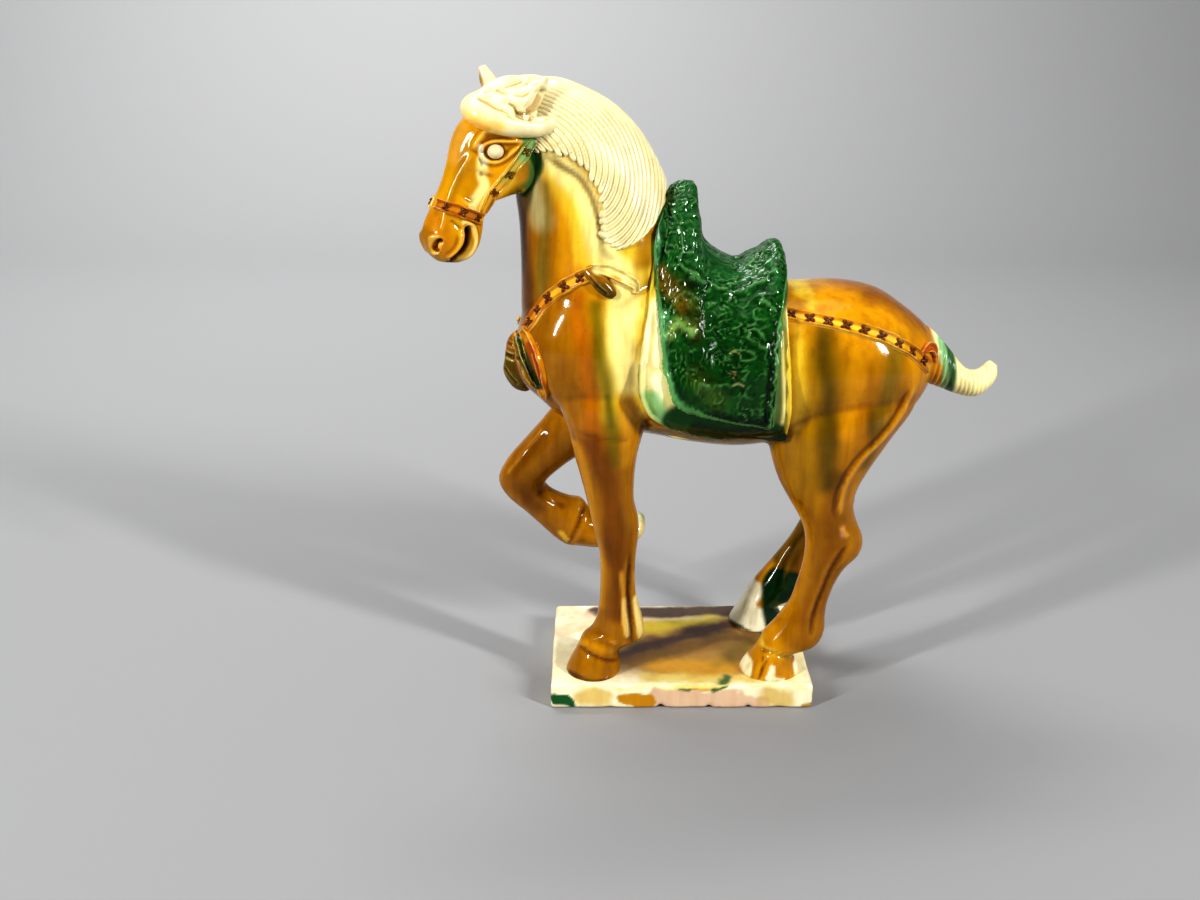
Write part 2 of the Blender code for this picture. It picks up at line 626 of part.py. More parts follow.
def fuse(forms, name):
    """Grows the overlapping forms into one skin, softens it, and thins it to the faces it needs."""
    work = bmesh.new()
    for form in forms:
        work.from_mesh(form.data)
        bpy.data.objects.remove(form, do_unlink=True)
    mesh = bpy.data.meshes.new(name)
    work.to_mesh(mesh)
    work.free()
    horse = bpy.data.objects.new(name, mesh)
    FIGURE.objects.link(horse)
    remesh = horse.modifiers.new("one_skin", "REMESH")
    remesh.mode = "VOXEL"
    remesh.voxel_size = CAST_VOXEL
    soften = horse.modifiers.new("soften", "SMOOTH")
    soften.factor = 0.5
    soften.iterations = 2
    apply_modifiers(horse)
    triangles = sum(len(face.vertices) - 2 for face in horse.data.polygons)
    thin = horse.modifiers.new("thin", "DECIMATE")
    thin.ratio = SURFACE_TRIANGLES / triangles
    thin.use_collapse_triangulate = True
    return apply_modifiers(horse)


def plinth_box():
    """The slab, sized from where the hooves stand and its margins round them, and its middle along X."""
    soles = [rows[-1] for rows in (NEAR_FORE, NEAR_HIND, FAR_HIND)]
    front = min(sole[0] for sole in soles) * U - PLINTH_FRONT_MARGIN
    rear = max(sole[2] for sole in soles) * U + PLINTH_REAR_MARGIN
    width = 2 * (max(abs(sole[5]) + sole[4] for sole in soles) * U + PLINTH_SIDE_MARGIN)
    slab = mesh_object("slab", lambda work: bmesh.ops.create_cube(work, size=1))
    slab.data.transform(Matrix.Diagonal((rear - front, width, PLINTH_THICKNESS, 1)))
    slab.data.transform(Matrix.Translation((0, 0, PLINTH_THICKNESS / 2)))
    edge = slab.modifiers.new("soft_edge", "BEVEL")
    edge.width = PLINTH_EDGE_ROUND
    edge.segments = 2
    return apply_modifiers(slab), (front + rear) / 2


def glaze_material():
    """Amber lead glaze, the colour that covers most of the figure."""
    glaze = bpy.data.materials.new("amber_glaze")
    glaze.use_nodes = True
    shader = glaze.node_tree.nodes["Principled BSDF"]
    shader.inputs["Base Color"].default_value = (0.48, 0.21, 0.02, 1)
    shader.inputs["Roughness"].default_value = 0.12
    shader.inputs["Metallic"].default_value = 0.0
    glaze.diffuse_color = (0.48, 0.21, 0.02, 1)
    return glaze


def main():
    clear_scene()
    body, head = body_forms(), on_head(head_form())
    trim = harness_forms(surface_tree(body)) + face_forms(surface_tree([head]))
    ridges = [strap("hamstring", lay(HAMSTRING, surface_tree(body), side), STRAP_WIDTH, STRAP_RELIEF)
              for side in (-1, 1)]
    horse = fuse(body + [head] + ridges + dress_forms() + hair_forms(), "horse_figure")
    for piece in trim:
        combine(horse, piece, "UNION")
    horse.data.transform(Matrix.Scale(U, 4))
    slab, middle = plinth_box()
    horse.data.transform(Matrix.Translation((-middle, 0, PLINTH_THICKNESS)))
    combine(horse, slab, "UNION")
    horse.data.materials.clear()
    horse.data.materials.append(glaze_material())
    horse.data.shade_smooth()


main()
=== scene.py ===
# %% [markdown]
# # A glazed ceramic horse
#
# The real figure was cast in a mould, fired, and coated with three runny lead glazes: amber, green and
# a nearly clear cream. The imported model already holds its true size, its pose and its outline. Here the
# surface gets what the solid is too coarse for: combed hair, flowers on the straps, the wormy saddle
# cover, and glaze that runs down the coat and pools in the hollows.
#
# Everything is modelled in millimetres, with heights counted from the soles, because that is how a
# maker would measure the figure. The last step of each piece puts it on its plinth, in metres.

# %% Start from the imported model
import itertools
import json
import math

import bpy
import numpy as np
from mathutils import Matrix, Vector
from mathutils.bvhtree import BVHTree

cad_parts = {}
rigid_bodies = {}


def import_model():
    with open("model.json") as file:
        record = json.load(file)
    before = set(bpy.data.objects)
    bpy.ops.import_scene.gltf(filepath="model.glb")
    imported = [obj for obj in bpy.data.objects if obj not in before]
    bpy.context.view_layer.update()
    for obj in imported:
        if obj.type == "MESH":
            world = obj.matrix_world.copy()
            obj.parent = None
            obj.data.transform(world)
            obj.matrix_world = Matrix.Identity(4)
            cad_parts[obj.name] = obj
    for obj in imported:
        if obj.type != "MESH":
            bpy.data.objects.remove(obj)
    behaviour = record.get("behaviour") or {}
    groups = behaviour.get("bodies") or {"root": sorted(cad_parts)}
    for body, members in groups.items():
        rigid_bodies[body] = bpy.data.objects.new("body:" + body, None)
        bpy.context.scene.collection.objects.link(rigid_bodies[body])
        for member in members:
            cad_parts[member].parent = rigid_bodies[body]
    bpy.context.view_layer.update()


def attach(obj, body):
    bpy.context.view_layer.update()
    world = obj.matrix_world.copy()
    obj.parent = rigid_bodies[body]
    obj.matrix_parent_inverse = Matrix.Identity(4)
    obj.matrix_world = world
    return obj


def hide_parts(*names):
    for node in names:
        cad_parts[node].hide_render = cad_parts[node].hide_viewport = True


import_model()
NODE = "horse_figure"
MM = 0.001
PLINTH_THICKNESS = 11.0


# %% [markdown]
# ## The camera, the floor and the light
#
# The picture was taken with an ordinary lens from about half a metre away, a little above the saddle,
# over a seamless grey sweep. Two soft lamps stand left and right in front, and leave thin, bright
# reflections on the glaze. Two more fill in from above and light the sweep behind. The sweep is one
# plane: its rear edge is extruded upwards, and the fold is rounded with a bevel.

# %% Camera
CAMERA_PLACE = (-0.0337, -0.499, 0.2925)
CAMERA_DOWN = math.radians(21)
camera = bpy.data.objects.new("camera", bpy.data.cameras.new("camera"))
bpy.context.scene.collection.objects.link(camera)
camera.data.sensor_width = 36
camera.data.lens = 39
camera.location = CAMERA_PLACE
camera.rotation_euler = (math.pi / 2 - CAMERA_DOWN, 0, 0)
bpy.context.scene.camera = camera
bpy.context.scene.view_settings.view_transform = "Standard"
bpy.context.scene.view_settings.look = "High Contrast"


# %% Helpers for working as by hand
def select_only(*objects):
    """Selects these objects and nothing else. The first one is the active one."""
    bpy.ops.object.select_all(action="DESELECT")
    for obj in objects:
        obj.select_set(True)
    bpy.context.view_layer.objects.active = objects[0]


def apply_modifier(obj, kind, **settings):
    """Adds a modifier with these settings and applies it."""
    modifier = obj.modifiers.new(kind.lower(), kind)
    for name, value in settings.items():
        setattr(modifier, name, value)
    select_only(obj)
    bpy.ops.object.modifier_apply(modifier=modifier.name)


def close_shell(obj):
    """Merges doubled points and turns all faces outwards."""
    select_only(obj)
    bpy.ops.object.mode_set(mode="EDIT")
    bpy.ops.mesh.select_all(action="SELECT")
    bpy.ops.mesh.remove_doubles(threshold=0.001)
    bpy.ops.mesh.normals_make_consistent(inside=False)
    bpy.ops.object.mode_set(mode="OBJECT")
    return obj


# %% Floor that sweeps up into a backdrop
FLOOR_SIZE = 3.2
FLOOR_BACK = 1.3
FLOOR_BEND = 0.5
bpy.ops.object.select_all(action="DESELECT")
bpy.ops.mesh.primitive_plane_add(size=FLOOR_SIZE, location=(0, FLOOR_BACK - FLOOR_SIZE / 2, 0))
floor = bpy.context.active_object
floor.name = "floor_sweep"
bpy.ops.object.mode_set(mode="EDIT")
bpy.ops.mesh.select_mode(type="EDGE")
bpy.ops.mesh.select_all(action="DESELECT")
bpy.ops.object.mode_set(mode="OBJECT")
for edge in floor.data.edges:
    edge.select = all(floor.data.vertices[v].co.y > FLOOR_SIZE / 2 - 0.01 for v in edge.vertices)
bpy.ops.object.mode_set(mode="EDIT")
bpy.ops.mesh.extrude_edges_move(TRANSFORM_OT_translate={"value": (0, 0, FLOOR_SIZE / 2)})
bpy.ops.mesh.select_all(action="DESELECT")
bpy.ops.object.mode_set(mode="OBJECT")
for edge in floor.data.edges:
    ends = [floor.data.vertices[v].co for v in edge.vertices]
    edge.select = all(end.y > FLOOR_SIZE / 2 - 0.01 and abs(end.z) < 0.01 for end in ends)
bpy.ops.object.mode_set(mode="EDIT")
bpy.ops.mesh.bevel(offset=FLOOR_BEND, segments=12)
bpy.ops.mesh.select_all(action="SELECT")
bpy.ops.mesh.normals_make_consistent(inside=True)
bpy.ops.object.mode_set(mode="OBJECT")
floor.data.shade_smooth()

paper = bpy.data.materials.new("grey_paper")
paper.use_nodes = True
paper.node_tree.nodes["Principled BSDF"].inputs["Base Color"].default_value = (0.292, 0.292, 0.294, 1)
paper.node_tree.nodes["Principled BSDF"].inputs["Roughness"].default_value = 0.7
floor.data.materials.append(paper)


# %% Lamps
LAMPS = {
    "left_softbox": ((-0.80, -0.62, 0.60), (0.05, 0.40), 8.0),
    "right_softbox": ((0.85, -0.66, 0.76), (0.06, 0.40), 11.0),
    "overhead_fill": ((-0.20, 0.10, 1.70), (1.4, 1.2), 4.8),
    "backdrop_wash": ((-0.35, 0.55, 1.20), (0.8, 0.6), 17.0),
}
AIMS = {"backdrop_wash": Vector((-0.35, 1.30, 0.40))}
for name, (stand, size, watts) in LAMPS.items():
    lamp = bpy.data.lights.new(name, "AREA")
    lamp.shape = "RECTANGLE"
    lamp.size, lamp.size_y = size
    lamp.energy = watts
    holder = bpy.data.objects.new(name, lamp)
    bpy.context.scene.collection.objects.link(holder)
    holder.location = stand
    aim = AIMS.get(name, Vector((0, 0, 0.12))) - Vector(stand)
    holder.rotation_euler = aim.to_track_quat("-Z", "Y").to_euler()
world = bpy.data.worlds.new("studio")
bpy.context.scene.world = world
world.use_nodes = True
world.node_tree.nodes["Background"].inputs["Color"].default_value = (0.93, 0.95, 1.0, 1)
world.node_tree.nodes["Background"].inputs["Strength"].default_value = 0.12
print("lamps:", ", ".join(LAMPS))


# %% [markdown]
# ## Shapes from stations
#
# A horse has no straight sides and no true cylinders, so its limbs, trunk, neck and head are drawn as
# stations: where the front and the rear outline lie, and how thick the form is there. A smooth curve
# runs through all the stations. These are the solid's own stations, apart from the saddle's first two,
# which narrow less here. They are drawn through many more rows, and because the forms overlap where they
# grow together, a fine voxel remesh makes one skin of them.

# %% Stations: one outline point, the opposite outline point, half-width, side offset, narrowing at the first
TRUNK = [
    (-68.0, 136, -67.3, 124, 8, 0, 0),
    (-64.8, 147, -63.6, 119, 17, 0, 0),
    (-61.0, 157, -58.0, 114.5, 24, 0, 0),
    (-51.0, 168, -50.0, 107, 30, 0, 0),
    (-36.0, 175, -38.0, 100.5, 33, 0, 0.03),
    (-17.0, 175, -16.0, 99.5, 34, 0, 0.08),
    (2.0, 167, 3.0, 96, 34.5, 0, 0.06),
    (22.0, 161, 22.0, 94.6, 35, 0, 0.03),
    (43.0, 160.6, 42.0, 97.5, 34.5, 0, 0),
    (60.0, 161.0, 60.0, 100, 34, 0, 0),
    (75.0, 158.0, 75.0, 102, 31.5, 0, 0),
    (87.0, 150.4, 87.0, 107, 25.5, 0, 0),
    (95.0, 143.6, 94.0, 115, 17, 0, 0),
    (98.5, 138.4, 98.0, 123, 8, 0, 0),
]
NECK = [
    (-65.6, 212, -62.0, 235.2, 7, 0, 0),
    (-66.6, 203, -51.0, 236.0, 12.5, 0, 0),
    (-65.9, 194, -40.5, 232.6, 15, 0, 0),
    (-64.8, 184, -29.9, 226.8, 17, 0, 0),
    (-64.5, 173, -20.7, 218.0, 19, 0, 0),
    (-64.5, 161, -13.8, 207.0, 21.5, 0, 0),
    (-64.6, 149, -8.6, 195.0, 25, 0, 0),
    (-63.0, 136, -6.0, 183.0, 28, 0, 0),
    (-55.0, 124, -9.0, 169.0, 29, 0, 0),
]
HEAD = [
    (16.0, 232.6, -4.0, 233.0, 6, 0, 0),
    (22.5, 227.6, -6.0, 228.0, 12.5, 0, 0.10),
    (29.0, 221.8, -5.5, 219.5, 14.2, 0, 0.16),
    (32.2, 215.8, -4.0, 210.5, 14.2, 0, 0.20),
    (34.0, 209.4, -2.0, 203.0, 13.4, 0, 0.24),
    (36.0, 203.5, 3.0, 198.0, 12.2, 0, 0.26),
    (38.5, 198.0, 11.5, 196.0, 10.8, 0, 0.24),
    (41.0, 193.3, 19.0, 194.0, 9.8, 0, 0.18),
    (43.7, 188.3, 21.6, 189.2, 9.4, 0, 0.10),
    (45.2, 183.5, 22.6, 183.8, 9.6, 0, 0.04),
    (44.8, 179.5, 24.2, 178.6, 9.4, 0, 0),
    (42.8, 176.0, 27.4, 174.4, 7.8, 0, 0),
    (40.0, 173.4, 31.4, 172.6, 4.5, 0, 0),
]
NEAR_FORE = [
    (-50.0, 134, -16.0, 134, 9, -18, 0),
    (-51.0, 121, -13.0, 119, 12.5, -19, 0),
    (-46.5, 107, -16.5, 106, 12.2, -20, 0),
    (-43.8, 96, -19.0, 96, 11.0, -21, 0),
    (-41.2, 86, -20.0, 86, 9.8, -21, 0),
    (-39.0, 77, -20.0, 77, 9.2, -21, 0),
    (-37.4, 69, -18.2, 69, 9.0, -21, 0),
    (-35.8, 62, -18.0, 62, 8.6, -21, 0),
    (-34.2, 55, -18.8, 55, 7.4, -21, 0),
    (-33.6, 47, -19.3, 47, 6.8, -21, 0),
    (-33.7, 38, -19.2, 38, 6.6, -21, 0),
    (-34.2, 30, -17.6, 30, 7.2, -21, 0),
    (-35.4, 23.5, -15.6, 22.0, 8.4, -21, 0),
    (-38.0, 18.5, -16.2, 15.5, 8.6, -21, 0),
    (-41.0, 16.0, -24.0, 11.5, 8.8, -21, 0),
    (-43.0, 11.0, -26.0, 8.0, 9.8, -21, 0),
    (-46.4, 4.0, -25.2, 3.0, 11.2, -21, 0),
    (-48.0, 0.0, -25.0, 0.0, 11.8, -21, 0),
]
RAISED_FORE = [
    (-44.0, 122, -20.0, 106, 9, 17, 0),
    (-50.0, 108.5, -29.5, 94, 11.5, 18, 0),
    (-57.0, 98.5, -39.0, 84, 10.5, 18, 0),
    (-65.2, 88.8, -48.0, 77.5, 9.6, 18, 0),
    (-73.4, 79.0, -55.0, 71.5, 9.4, 18, 0),
    (-77.2, 70.4, -57.2, 68.5, 9.4, 18, 0),
    (-73.9, 62.8, -55.0, 65.5, 8.6, 18, 0),
    (-66.0, 55.2, -51.0, 63.4, 7.4, 18, 0),
    (-59.0, 48.2, -46.0, 61.8, 7.0, 18, 0),
    (-53.0, 42.4, -41.8, 61.2, 7.8, 18, 0),
    (-48.0, 39.4, -38.8, 57.2, 8.4, 18, 0),
    (-42.0, 39.0, -35.0, 52.8, 8.0, 18, 0),
    (-36.0, 38.4, -31.0, 52.4, 8.8, 18, 0),
    (-24.0, 39.6, -21.0, 53.6, 10.0, 18, 0),
    (-17.5, 42.4, -15.2, 53.0, 9.0, 18, 0),
    (-14.8, 45.6, -13.8, 50.0, 5.0, 18, 0),
]
NEAR_HIND = [
    (34.0, 127, 90.0, 131, 13, -14, 0),
    (32.5, 113, 90.0, 117, 17, -16, 0),
    (33.2, 99, 81.0, 103, 16, -18, 0),
    (36.6, 87, 74.5, 93, 13.5, -19.5, 0),
    (41.0, 78.5, 69.5, 84, 11.5, -20.5, 0),
    (45.2, 71.5, 67.6, 76, 10.2, -21, 0),
    (47.8, 66, 69.0, 69, 9.4, -21, 0),
    (49.2, 60, 72.4, 60.5, 9.2, -21, 0),
    (49.2, 53, 71.6, 54.0, 8.6, -21, 0),
    (48.2, 46, 66.4, 48.0, 7.6, -21, 0),
    (46.4, 39, 62.8, 41.0, 6.8, -21, 0),
    (44.4, 32, 60.4, 33.5, 6.6, -21, 0),
    (40.6, 25.5, 59.4, 26.5, 7.2, -21, 0),
    (36.6, 20, 59.4, 18.0, 8.4, -21, 0),
    (33.6, 16.5, 56.0, 11.5, 8.8, -21, 0),
    (33.2, 13.5, 47.0, 8.8, 9.0, -21, 0),
    (31.0, 10.0, 47.0, 7.0, 9.8, -21, 0),
    (26.4, 3.5, 49.2, 2.5, 11.2, -21, 0),
    (24.6, 0.0, 50.0, 0.0, 11.8, -21, 0),
]
FAR_HIND = [
    (34.0, 127, 90.0, 131, 13, 14, 0),
    (32.5, 113, 90.0, 117, 17, 16, 0),
    (35.0, 99, 82.0, 103, 16, 18, 0),
    (40.0, 87, 76.5, 93, 13.5, 19.5, 0),
    (46.0, 78.5, 73.0, 84, 11.5, 20.5, 0),
    (51.0, 71.5, 72.6, 76, 10.2, 21, 0),
    (54.4, 65.5, 74.0, 69, 9.4, 21, 0),
    (56.2, 59.5, 77.0, 60.5, 9.2, 21, 0),
    (55.4, 53, 75.4, 53.5, 8.6, 21, 0),
    (52.6, 46.5, 70.5, 46.5, 7.6, 21, 0),
    (49.0, 40, 65.5, 39.0, 6.8, 21, 0),
    (44.6, 33.5, 61.5, 31.5, 6.8, 21, 0),
    (39.8, 27, 57.5, 24.0, 7.4, 21, 0),
    (36.4, 22.5, 56.5, 16.5, 8.6, 21, 0),
    (33.6, 18.5, 52.0, 11.0, 8.8, 21, 0),
    (31.6, 14.5, 46.0, 8.6, 9.2, 21, 0),
    (29.2, 9.5, 46.5, 6.0, 10.0, 21, 0),
    (25.2, 3.0, 48.6, 2.0, 11.2, 21, 0),
    (23.8, 0.0, 49.0, 0.0, 11.8, 21, 0),
]
TAIL = [
    (90.0, 146, 88.0, 118, 9, 0, 0),
    (97.5, 141.8, 94.5, 120, 9, 0, 0),
    (103.0, 136.5, 99.5, 118.6, 8.2, 0, 0),
    (107.4, 131.5, 104.5, 116.8, 7.4, 0, 0),
    (110.6, 127.6, 109.0, 115.0, 6.6, 0, 0),
    (113.6, 125.0, 114.5, 113.6, 6.0, 0, 0),
    (116.8, 124.4, 119.0, 114.0, 5.6, 0, 0),
    (119.6, 125.6, 123.2, 117.6, 5.2, 0, 0),
    (121.2, 127.4, 125.6, 122.0, 4.4, 0, 0),
    (122.4, 128.4, 125.4, 126.6, 2.6, 0, 0),
]
SADDLE = [
    (-24.0, 173.3, -24.0, 90, 34.3, 0, 0.04),
    (-16.0, 175.3, -18.0, 88, 34.8, 0, 0.08),
    (-12.5, 183.3, -13.0, 79, 35.3, 0, 0.34),
    (-9.0, 191.3, -9.0, 71, 35.5, 0, 0.42),
    (-5.0, 195.3, -5.0, 67, 35.7, 0, 0.45),
    (-1.0, 196.5, -1.0, 66, 35.8, 0, 0.46),
    (2.6, 194.9, 2.6, 67, 35.9, 0, 0.45),
    (4.2, 185.3, 4.2, 77, 36.0, 0, 0.38),
    (6.0, 175.3, 6.0, 86, 36.0, 0, 0.26),
    (11.0, 170.3, 11.0, 91, 36.1, 0, 0.12),
    (19.0, 167.1, 19.0, 92, 36.1, 0, 0.06),
    (27.0, 169.9, 27.0, 91, 36.1, 0, 0.10),
    (33.0, 173.9, 33.0, 89, 36.1, 0, 0.20),
    (36.5, 171.8, 36.5, 90, 35.8, 0, 0.20),
    (38.4, 163.3, 38.4, 92, 35.6, 0, 0.10),
    (42.0, 158.3, 42.0, 92, 35.3, 0, 0.02),
    (46.0, 157.3, 46.0, 92, 34.9, 0, 0.0),
]
FLAP_SQUARENESS = 0.76
JAW_SQUARENESS = 0.72
SOLE_SUNK = 1.5
WELL_OUTSIDE = 60
FINE_VOXEL = 0.42


# %% Turning stations into skin
def smooth(rows, steps):
    """The rows with smoothly varying rows (Catmull-Rom) added between them."""
    rows = np.array(rows, float)
    padded = np.vstack([rows[:1], rows, rows[-1:]])
    t = np.linspace(0, 1, steps, endpoint=False)[:, None]
    found = []
    for a, b, c, d in zip(padded, padded[1:], padded[2:], padded[3:]):
        bend = (2 * a - 5 * b + 4 * c - d) * t ** 2 + (3 * b - a - 3 * c + d) * t ** 3
        found.append(b + 0.5 * ((c - a) * t + bend))
    return np.vstack(found + [rows[-1:]])


def rings(rows, turns, lift=0.0, squareness=1.0):
    """Points round each station at these turns. Lift pushes them outwards, and a squareness below 1 makes
    the lower half squarer."""
    px, pz, qx, qz, half_width, side, narrowing = (column[:, None] for column in rows.T)
    up, out = np.cos(turns)[None, :], np.sin(turns)[None, :]
    lower = up < 0
    out = np.where(lower, np.sign(out) * np.abs(out) ** squareness, out)
    up = np.where(lower, -np.abs(up) ** squareness, up)
    reach = np.hypot(px - qx, pz - qz) / 2
    stretch = (1 + lift / reach) * up
    width = (half_width + lift) * (1 - narrowing * np.maximum(up, 0))
    x, z = (px + qx) / 2 + (px - qx) / 2 * stretch, (pz + qz) / 2 + (pz - qz) / 2 * stretch
    return np.stack([x, side + width * out + 0 * x, z], axis=-1)


def skin(name, grid):
    """A closed mesh over rings of points, with a flat face at each end."""
    count, sides = grid.shape[:2]
    index = np.arange(count * sides).reshape(count, sides)
    beside = np.roll(index, -1, axis=1)
    faces = np.stack([index[:-1], beside[:-1], beside[1:], index[1:]], axis=-1).reshape(-1, 4).tolist()
    mesh = bpy.data.meshes.new(name)
    mesh.from_pydata(grid.reshape(-1, 3).tolist(), [], faces + [index[0].tolist(), index[-1].tolist()])
    made = bpy.data.objects.new(name, mesh)
    bpy.context.scene.collection.objects.link(made)
    return close_shell(made)


def full_turn(sides):
    """Evenly spaced turns round a form."""
    return np.linspace(0, 2 * math.pi, sides, endpoint=False)


def loft(name, stations, steps=8, sides=64, squareness=1.0):
    """A closed form through a table of stations."""
    return skin(name, rings(smooth(stations, steps), full_turn(sides), squareness=squareness))


def standing_leg(name, stations):
    """A leg with its sole sunk a little into the plinth, so that no gap shows under it."""
    px, pz, qx, qz, half_width, side, narrowing = stations[-1]
    sunk = (px, pz - SOLE_SUNK, qx, qz - SOLE_SUNK, half_width, side, narrowing)
    return loft(name, stations + [sunk])


def tube(name, route, sides=24, steps=8):
    """A round tube along points (x, y, z, radius)."""
    fine = smooth(route, steps)
    path, radius = fine[:, :3], fine[:, 3]
    ahead = np.gradient(path, axis=0)
    ahead /= np.linalg.norm(ahead, axis=1)[:, None]
    across = np.cross(ahead, (0.31, 0.17, 0.94))
    across /= np.linalg.norm(across, axis=1)[:, None]
    up = np.cross(across, ahead)
    turns = full_turn(sides)[None, :, None]
    ring = np.cos(turns) * across[:, None] + np.sin(turns) * up[:, None]
    return skin(name, path[:, None] + radius[:, None, None] * ring)


def fuse(name, forms, voxel, soften):
    """Joins overlapping closed forms and grows one fine skin over them."""
    select_only(*forms)
    if len(forms) > 1:
        bpy.ops.object.join()
    one = bpy.context.view_layer.objects.active
    one.name = one.data.name = name
    apply_modifier(one, "REMESH", mode="VOXEL", voxel_size=voxel)
    apply_modifier(one, "SMOOTH", factor=0.5, iterations=soften)
    return one


# %% [markdown]
# ## Working on the skin
#
# A modeller presses grooves and pinches ridges into the clay with a tool drawn along a line. Here each
# stroke is such a line, drawn as seen from the side, and the points near it move along their normals.
# The glaze is laid on in the same way: a wash is a line, a brush width, and how soft its edge is.

# %% Reading and moving the points of a mesh
def points_of(obj):
    """The mesh's points as an array."""
    flat = np.empty(len(obj.data.vertices) * 3)
    obj.data.vertices.foreach_get("co", flat)
    return flat.reshape(-1, 3)


def normals_of(obj):
    """The way out of the surface at each point."""
    flat = np.empty(len(obj.data.vertices) * 3)
    obj.data.vertex_normals.foreach_get("vector", flat)
    return flat.reshape(-1, 3)


def move_points(obj, points):
    """Puts the mesh's points there."""
    obj.data.vertices.foreach_set("co", points.ravel())
    obj.data.update()


def nearest_on(flat, route):
    """How far each flat point is from a smooth line through the route, and how far along it that is."""
    line = smooth(route, 4) if len(route) > 2 else np.array(route, float)
    nearest, passed = np.linalg.norm(flat - line[0], axis=1), np.zeros(len(flat))
    for k, (start, end) in enumerate(zip(line[:-1], line[1:])):
        step = end - start
        share = np.clip((flat - start) @ step / max(step @ step, 1e-12), 0, 1)
        away = np.linalg.norm(flat - start - share[:, None] * step, axis=1)
        passed = np.where(away < nearest, (k + share) / (len(line) - 1), passed)
        nearest = np.minimum(nearest, away)
    return nearest, passed


def distance_to(flat, route):
    """How far each flat point is from a smooth line through the route."""
    return nearest_on(flat, route)[0]


def search_tree(obj):
    """A search tree over the surface of a piece."""
    corners = [vertex.co.copy() for vertex in obj.data.vertices]
    return BVHTree.FromPolygons(corners, [face.vertices[:] for face in obj.data.polygons])


def noise(points, size, seed=0):
    """Soft values from -1 to 1 that vary over about that size."""
    cell = points / size
    base = np.floor(cell)
    part = cell - base
    part = part * part * (3 - 2 * part)
    total = np.zeros(len(points))
    for corner in itertools.product((0, 1), repeat=3):
        picked = (base + corner) @ np.array((12.9898, 78.233, 37.719)) + seed * 4.13
        weight = np.prod(np.where(np.array(corner) == 1, part, 1 - part), axis=1)
        total += weight * (np.sin(picked) * 4375.85 % 1)
    return total * 2 - 1


def fade(value, start, end):
    """Rises smoothly from 0 at start to 1 at end."""
    part = np.clip((value - start) / (end - start), 0, 1)
    return part * part * (3 - 2 * part)


# %% Pressing and pinching
def carve(obj, strokes):
    """Strokes are (route, brush width, height, side); a height below 0 is a groove, and side 0 is both.
    A stroke through three places or more fades out at its ends. Side 2 is all round the far limbs."""
    points, normals = points_of(obj), normals_of(obj)
    outward = normals[:, 1]
    moved = np.zeros(len(points))
    for route, width, height, side in strokes:
        facing = fade(np.abs(outward) if side in (0, 2) else side * outward, 0.0, 0.55)
        on_side = 1.0 if side == 0 else fade(side * points[:, 1], -1.0, 1.0)
        away, passed = nearest_on(points[:, [0, 2]], route)
        taper = fade(passed, 0.0, 0.16) * (1 - fade(passed, 0.84, 1.0)) if len(route) > 2 else 1.0
        moved += height * np.exp(-(away / width) ** 2) * facing * on_side * taper
    move_points(obj, points + normals * moved[:, None])
    return obj


# %% Washes of glaze
def shade(red, green, blue):
    """A colour read on the usual 0 to 255 scale, as the light values that a shader takes."""
    part = np.array((red, green, blue)) / 255
    return np.where(part <= 0.04045, part / 12.92, ((part + 0.055) / 1.055) ** 2.4)


def softened(values, ends, rounds):
    """Values of the points of a mesh, averaged again and again with those of their neighbours."""
    a, b = ends
    degree = np.maximum(np.bincount(a, minlength=len(values)) + np.bincount(b, minlength=len(values)), 1)
    for _ in range(rounds):
        values = (np.bincount(a, values[b], len(values)) + np.bincount(b, values[a], len(values))) / degree
    return values


def hollows(obj, rounds):
    """How far each point lies below its smoothed surroundings: positive in a hollow, negative on a ridge.
    The roundness of the whole form is left out, so that a slender leg doesn't count as a ridge."""
    ends = np.empty(len(obj.data.edges) * 2, np.int32)
    obj.data.edges.foreach_get("vertices", ends)
    ends = ends.reshape(-1, 2).T
    points = points_of(obj)
    soft = np.stack([softened(column, ends, rounds) for column in points.T], axis=1)
    sunk = ((soft - points) * normals_of(obj)).sum(axis=1)
    return sunk - softened(sunk, ends, 5 * rounds)


def coverage(flat, route, width, softness, strength):
    """How much of a wash lies on each flat point."""
    return strength * (1 - fade(distance_to(flat, route), width - softness / 2, width + softness / 2))


def keep_colour(obj, colour):
    """Stores a colour for each point as the mesh's glaze attribute."""
    paint = obj.data.color_attributes.new("glaze", "FLOAT_COLOR", "POINT")
    paint.data.foreach_set("color", np.hstack([colour, np.ones((len(colour), 1))]).ravel())


